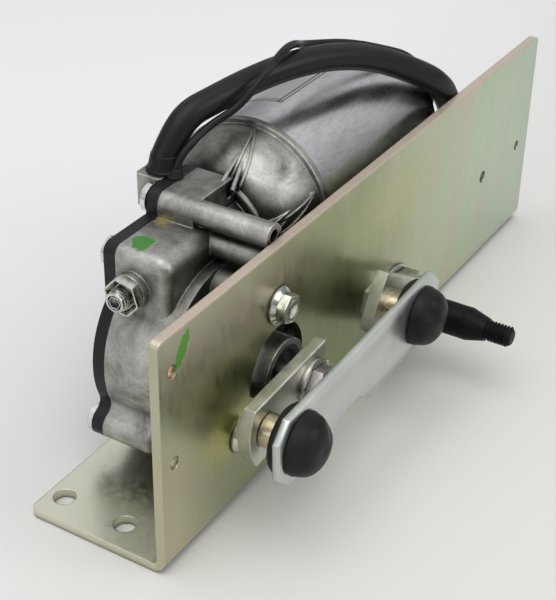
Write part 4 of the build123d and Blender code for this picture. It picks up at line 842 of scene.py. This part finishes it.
bpy.ops.object.mode_set(mode="OBJECT")
combine(head, rim, "UNION")
shank = start(
    bpy.ops.mesh.primitive_cylinder_add, vertices=32, radius=0.003, depth=shank_length + 0.0005,
    location=(0, 0, (0.0005 - shank_length) / 2),
)
combine(head, shank, "UNION")
soften_edges(head, 0.00015, 0.6)
bolt_circle = (bolt_high[0] - bolt_low[0] - 2 * rim_radius) / (2 * math.cos(math.radians(30)))
hub_x = (bolt_low[0] + bolt_high[0]) / 2
hub_z = bolt_high[2] - rim_radius - bolt_circle
for number, angle in enumerate((90, 210, 330)):
    copy = head.copy()
    copy.data = head.data.copy()
    bpy.context.scene.collection.objects.link(copy)
    place = (
        hub_x + bolt_circle * math.cos(math.radians(angle)), plate_face,
        hub_z + bolt_circle * math.sin(math.radians(angle)),
    )
    seat(
        copy, f"flange_bolt_{number + 1}", place, towards_front,
        steel, "base", "bright_steel", "mounting_bolts",
    )
bpy.data.objects.remove(head)

# %% [markdown]
# ### Threads
#
# A thread is one ridge wound round a core. The core is already there, so only the ridge is made: a
# small four-sided section, swept by the Screw modifier, and closed at both ends.


# %% Threads
def ridge(core, crest, pitch, length):
    """A thread's ridge along z from 0 to a length, sunk a little into its core."""
    turns = (length - 0.8 * pitch) / pitch
    section = start(bpy.ops.mesh.primitive_plane_add, size=1.0)
    for vertex, place in zip(section.data.vertices, (
        (core - 0.0001, 0, 0.02 * pitch), (core - 0.0001, 0, 0.78 * pitch),
        (crest, 0, 0.30 * pitch), (crest, 0, 0.50 * pitch),
    )):
        vertex.co = place
    bpy.ops.object.mode_set(mode="EDIT")
    bpy.ops.mesh.select_all(action="SELECT")
    bpy.ops.mesh.delete(type="ONLY_FACE")
    bpy.ops.object.mode_set(mode="OBJECT")
    apply_modifier(
        section, "SCREW", axis="Z", angle=2 * math.pi * turns, screw_offset=pitch * turns, iterations=1,
        steps=round(28 * turns), render_steps=round(28 * turns),
    )
    bpy.ops.object.mode_set(mode="EDIT")
    bpy.ops.mesh.select_all(action="SELECT")
    bpy.ops.mesh.fill_holes(sides=8)
    bpy.ops.mesh.normals_make_consistent(inside=False)
    bpy.ops.object.mode_set(mode="OBJECT")
    return section


spindle_x, _, spindle_z = middle_of("spindle_shaft")
thread_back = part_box("spindle_shaft")[0][1] + 0.0104
seat(
    ridge(0.0037, 0.0043, 0.0014, 0.0098), "spindle_thread", (spindle_x, thread_back, spindle_z),
    towards_front, black_steel, "spindle", "black_steel",
)
_, screw_y, screw_z = middle_of("set_screw")
nut_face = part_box("lock_nut")[0][0]
seat(
    ridge(0.00355, 0.0041, 0.00115, 0.0032), "set_screw_thread", (nut_face + 0.0002, screw_y, screw_z),
    towards_left, steel, "base", "bright_steel",
)

# The last turn of the set screw is faced off square round its key hole.
face_depth = 0.0010
screw_end = start(
    bpy.ops.mesh.primitive_cylinder_add, vertices=48, radius=0.0038, depth=face_depth,
    location=(0, 0, face_depth / 2),
)
key_hole = start(bpy.ops.mesh.primitive_cylinder_add, vertices=6, radius=0.00238, depth=4 * face_depth)
combine(screw_end, key_hole, "DIFFERENCE")
soften_edges(screw_end, 0.00022)
seat(
    screw_end, "set_screw_end", (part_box("set_screw")[0][0] + face_depth, screw_y, screw_z), towards_left,
    steel, "base", "bright_steel",
)

# %% [markdown]
# ### Dust caps
#
# A soft rubber cap closes each ball joint. It starts as a disc that is drawn out ring by ring, then
# pinched in at one side, because the real ones are never quite round, and smoothed by subdivision.


# %% Dust caps
cap_rings = (
    (0.0, 0.0116), (0.0004, 0.0118), (0.0013, 0.0119), (0.0019, 0.0115), (0.0040, 0.0111), (0.0060, 0.0103),
    (0.0077, 0.0087), (0.0090, 0.0063), (0.0098, 0.0036), (0.0101, 0.0012),
)


def dust_cap(pinches):
    """A soft cap along z, drawn out of a disc ring by ring, with its sides pressed in."""
    height, radius = cap_rings[0]
    cap = start(bpy.ops.mesh.primitive_circle_add, vertices=32, radius=radius, fill_type="NGON")
    bpy.ops.object.mode_set(mode="EDIT")
    bpy.ops.mesh.select_all(action="SELECT")
    for next_height, next_radius in cap_rings[1:]:
        bpy.ops.mesh.extrude_region_move(TRANSFORM_OT_translate={"value": (0, 0, next_height - height)})
        share = next_radius / radius
        bpy.ops.transform.resize(value=(share, share, 1))
        height, radius = next_height, next_radius
    for middle, push, reach in pinches:
        bpy.ops.mesh.select_all(action="DESELECT")
        shell = bmesh.from_edit_mesh(cap.data)
        nearest = min(shell.verts, key=lambda vertex: (vertex.co - Vector(middle)).length)
        nearest.select_set(True)
        bpy.ops.transform.translate(
            value=push, use_proportional_edit=True, proportional_edit_falloff="SMOOTH",
            proportional_size=reach,
        )
    bpy.ops.mesh.select_all(action="SELECT")
    bpy.ops.mesh.normals_make_consistent(inside=False)
    bpy.ops.object.mode_set(mode="OBJECT")
    apply_modifier(cap, "SUBSURF", levels=2, render_levels=2)
    return cap


solid_cap_radius = 0.0133
link_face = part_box("link_bar")[0][1]
cap_low, cap_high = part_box("dust_caps")
crank_ball = Vector((cap_low[0] + solid_cap_radius, link_face, cap_low[2] + solid_cap_radius))
rocker_ball = Vector((cap_high[0] - solid_cap_radius, link_face, cap_high[2] - solid_cap_radius))
print("ball joints", round((rocker_ball - crank_ball).length * 1000, 1), "mm apart")
# A pinch is its middle, how far it is pushed, and how far round it the rubber gives.
for name, ball, pinches in (
    ("crank_dust_cap", crank_ball, (
        ((0.0075, 0.006, 0.0075), (-0.0010, -0.0008, -0.0006), 0.0050),
        ((-0.002, 0.001, 0.0100), (0, 0, -0.0007), 0.0045),
    )),
    ("rocker_dust_cap", rocker_ball, (
        ((-0.0060, 0.0070, 0.0075), (0.0006, -0.0007, -0.0006), 0.0055),
        ((0.003, -0.002, 0.0100), (0, 0, -0.0008), 0.0045),
    )),
):
    seat(dust_cap(pinches), name, ball, towards_front, rubber, "link", "black_rubber", "dust_caps")

# %% [markdown]
# ### Gland
#
# A soft rubber boot seals the cables where they enter the housing. It is drawn up from a ring round
# each cable, wide at the foot and close to the cable at the top.


# %% Gland
def boot(foot, head, rings):
    """A tapered boot from its foot towards its head, by shares of the way and radii."""
    foot, head = Vector(foot), Vector(head)
    made = start(
        bpy.ops.mesh.primitive_circle_add, vertices=40, radius=rings[0][1], fill_type="NGON", location=foot,
    )
    bpy.ops.object.mode_set(mode="EDIT")
    bpy.ops.mesh.select_all(action="SELECT")
    for (share, radius), (next_share, next_radius) in zip(rings, rings[1:]):
        step = (head - foot) * (next_share - share)
        bpy.ops.mesh.extrude_region_move(TRANSFORM_OT_translate={"value": step})
        bpy.ops.transform.resize(value=(next_radius / radius, next_radius / radius, 1))
    bpy.ops.mesh.select_all(action="SELECT")
    bpy.ops.mesh.normals_make_consistent(inside=False)
    bpy.ops.object.mode_set(mode="OBJECT")
    bpy.ops.object.transform_apply(location=True, rotation=True, scale=True)
    return made


gland = boot(
    (-0.0622, 0.0211, 0.1008), (-0.0608, 0.0207, 0.1075),
    ((0, 0.0066), (0.15, 0.0067), (0.22, 0.0062), (0.6, 0.0060), (0.96, 0.0058), (1.0, 0.0055)),
)
wire_boot = boot(
    (-0.0645, 0.0146, 0.1004), (-0.0636, 0.0144, 0.1040),
    ((0, 0.0030), (0.2, 0.0030), (0.3, 0.0025), (1.0, 0.0019)),
)
combine(gland, wire_boot, "UNION")
soften_edges(gland, 0.0002)
seat(gland, "gland_boot", origin, in_place, rubber, "base", "black_rubber", "cable_gland")

# %% [markdown]
# ### Ribs on the bell
#
# Thin cast ribs run down the bell in pairs, close together near the rim and apart at the block.
# Each is a strip whose crest follows the bell's curve and whose root is sunk into it. A strip of
# faces with a Solidify modifier gives the even wall and the draft of a cast rib.

# %% Ribs
_, motor_y, motor_z = can_middle
bell_rim = can_low[0]
# The crest, as distances from the bell's rim and from the motor's axis.
rib_crest = (
    (0.0046, 0.0330), (0.0085, 0.0325), (0.0120, 0.0317), (0.0155, 0.0304), (0.0190, 0.0287),
    (0.0225, 0.0262), (0.0262, 0.0225),
)
rib_steps = len(rib_crest) - 1


def bell_rib(name, angle, spread):
    """A thin rib from near the bell's rim at one angle to the block at another, both in degrees."""
    strip = start(bpy.ops.mesh.primitive_grid_add, x_subdivisions=rib_steps, y_subdivisions=1, size=1.0)
    rows = sorted(strip.data.vertices, key=lambda vertex: (round(vertex.co.x, 4), vertex.co.y))
    for number, vertex in enumerate(rows):
        step, is_crest = divmod(number, 2)
        back, reach = rib_crest[step]
        if not is_crest:
            reach -= 0.0035 if step else 0.0008
        turn = math.radians(angle - spread * step / rib_steps)
        vertex.co = (bell_rim - back, motor_y - reach * math.cos(turn), motor_z + reach * math.sin(turn))
    apply_modifier(strip, "SOLIDIFY", thickness=0.0011, offset=0.0)
    soften_edges(strip, 0.0003, 0.7)
    seat(strip, name, origin, in_place, cast, "base", "cast_aluminium")


for number, angle in enumerate((325, 25, 85)):
    bell_rib(f"bell_rib_{number + 1}_near", angle, 10)
    bell_rib(f"bell_rib_{number + 1}_far", angle, 22)

# %% [markdown]
# ### Link bar
#
# The bar is stamped from 3 mm strip. It is a copy of the solid, with its ends drawn in to the
# length of the real one and its edges rolled over by a bevel, as a punch leaves them.

# %% Link bar
strap = nodes["link_bar"].copy()
strap.data = nodes["link_bar"].data.copy()
strap.parent = None
bpy.context.scene.collection.objects.link(strap)
choose(strap)
bpy.ops.object.mode_set(mode="EDIT")
bpy.ops.mesh.select_all(action="SELECT")
bpy.ops.mesh.remove_doubles(threshold=0.00001)
bpy.ops.mesh.dissolve_limited(angle_limit=math.radians(1))
link_line = (rocker_ball - crank_ball).normalized()
# What lies more than 9 mm beyond a ball is that end's edge, and moves in.
for ball, outward, draw_in in ((crank_ball, -1, 0.0024), (rocker_ball, 1, 0.0004)):
    bpy.ops.mesh.select_all(action="DESELECT")
    shell = bmesh.from_edit_mesh(strap.data)
    for vertex in shell.verts:
        if outward * (vertex.co - ball).dot(link_line) > 0.0090:
            vertex.select_set(True)
    shell.select_flush_mode()
    bpy.ops.transform.translate(value=link_line * (-outward * draw_in))
bpy.ops.object.mode_set(mode="OBJECT")
apply_modifier(strap, "BEVEL", width=0.0005, segments=3, limit_method="ANGLE", angle_limit=math.radians(30))
seat(strap, "link_strap", origin, in_place, link_plate, "link", "link_zinc", "link_bar")

# %% [markdown]
# ## Cables
#
# A soft sleeve carries the motor's leads out of the gearbox, over the motor and down behind it to
# a plug on the foot. A thin pair of signal wires, made here as one cord, leaves the same gland and
# crosses over the sleeve. A cable could be a mesh tube, but a curve with a round bevel follows its
# points smoothly and is easy to move.

# %% Cable finishes
sleeve_vinyl = Finish("sleeve_vinyl", (0.008, 0.009, 0.009), 0.0, 0.36)
sleeve_vinyl.shader.inputs["Specular IOR Level"].default_value = 0.22
sleeve_vinyl.uneven(0.28, 0.44, 120.0, 4.0)
sleeve_vinyl.grain(0.00004, 0.3, 700.0, 4.0)
dress(sleeve_vinyl, "harness_sleeve", "signal_wires")

# %% [markdown]
# ### Cable routes
#
# The points of a route pull the cable towards them without all lying on it, so it stays smooth in
# between. The last points lie inside the plug, and hide the cable's end.


# %% Cable curves
def add_cable(name, node, route, length, diameter):
    """A cable along a route in millimetres, in place of a node."""
    curve = bpy.data.curves.new(name, "CURVE")
    curve.dimensions = "3D"
    curve.bevel_depth = diameter / 2
    curve.bevel_resolution = 6
    curve.resolution_u = 10
    curve.use_fill_caps = True
    spline = curve.splines.new("NURBS")
    spline.points.add(len(route) - 1)
    for point, place in zip(spline.points, route):
        point.co = (*[value / 1000 for value in place], 1)
    spline.order_u = 3
    spline.use_endpoint_u = True
    cable = bpy.data.objects.new(name, curve)
    bpy.context.scene.collection.objects.link(cable)
    curve.materials.append(sleeve_vinyl.material)
    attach(cable, "base")
    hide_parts(node)
    print(name, "is", round(1000 * length), "mm long")


sleeve_route = [
    (-61.9, 21.1, 104.8), (-58, 19.8, 112.2), (-51, 17.6, 119.6), (-41, 14.2, 121.6), (-26, 8.8, 124.6),
    (-8, 2.3, 126.4), (12, -5, 125.2), (32, -12.6, 119.8), (48, -20.4, 111.6), (64, -29.3, 101.3),
    (75.5, -29.3, 87.5), (88, -29, 70), (97, -26, 50), (98, -16, 30), (88, -2, 15.5), (70, 7.5, 9.1),
    (50, 10, 8.9), (30, 9.6, 8.9),
]
wires_route = [
    (-64.2, 14.6, 101.6), (-62.9, 14.2, 106.6), (-56.8, 12.2, 111.8), (-47.5, 10.6, 115.4),
    (-38.9, 4.4, 120.4), (-33.6, 0.6, 126.8), (-26.5, -1.8, 133), (-15, -1.2, 136.6),
    (-3.5, 1.5, 134.2), (7, 4.6, 129.6),
    (20, 4.8, 125.6), (35, 0, 122.2), (51, -7, 116), (66, -15, 109), (79, -19.5, 92), (82, -17, 68),
    (84, -4, 44), (82, 12, 22), (69, 19, 5.8), (49, 18.6, 5.2), (30, 17.8, 5.2),
]
add_cable("sleeve_cable", "harness_sleeve", sleeve_route, 0.314, 0.0108)
add_cable("wires_cable", "signal_wires", wires_route, 0.313, 0.003)

# %% [markdown]
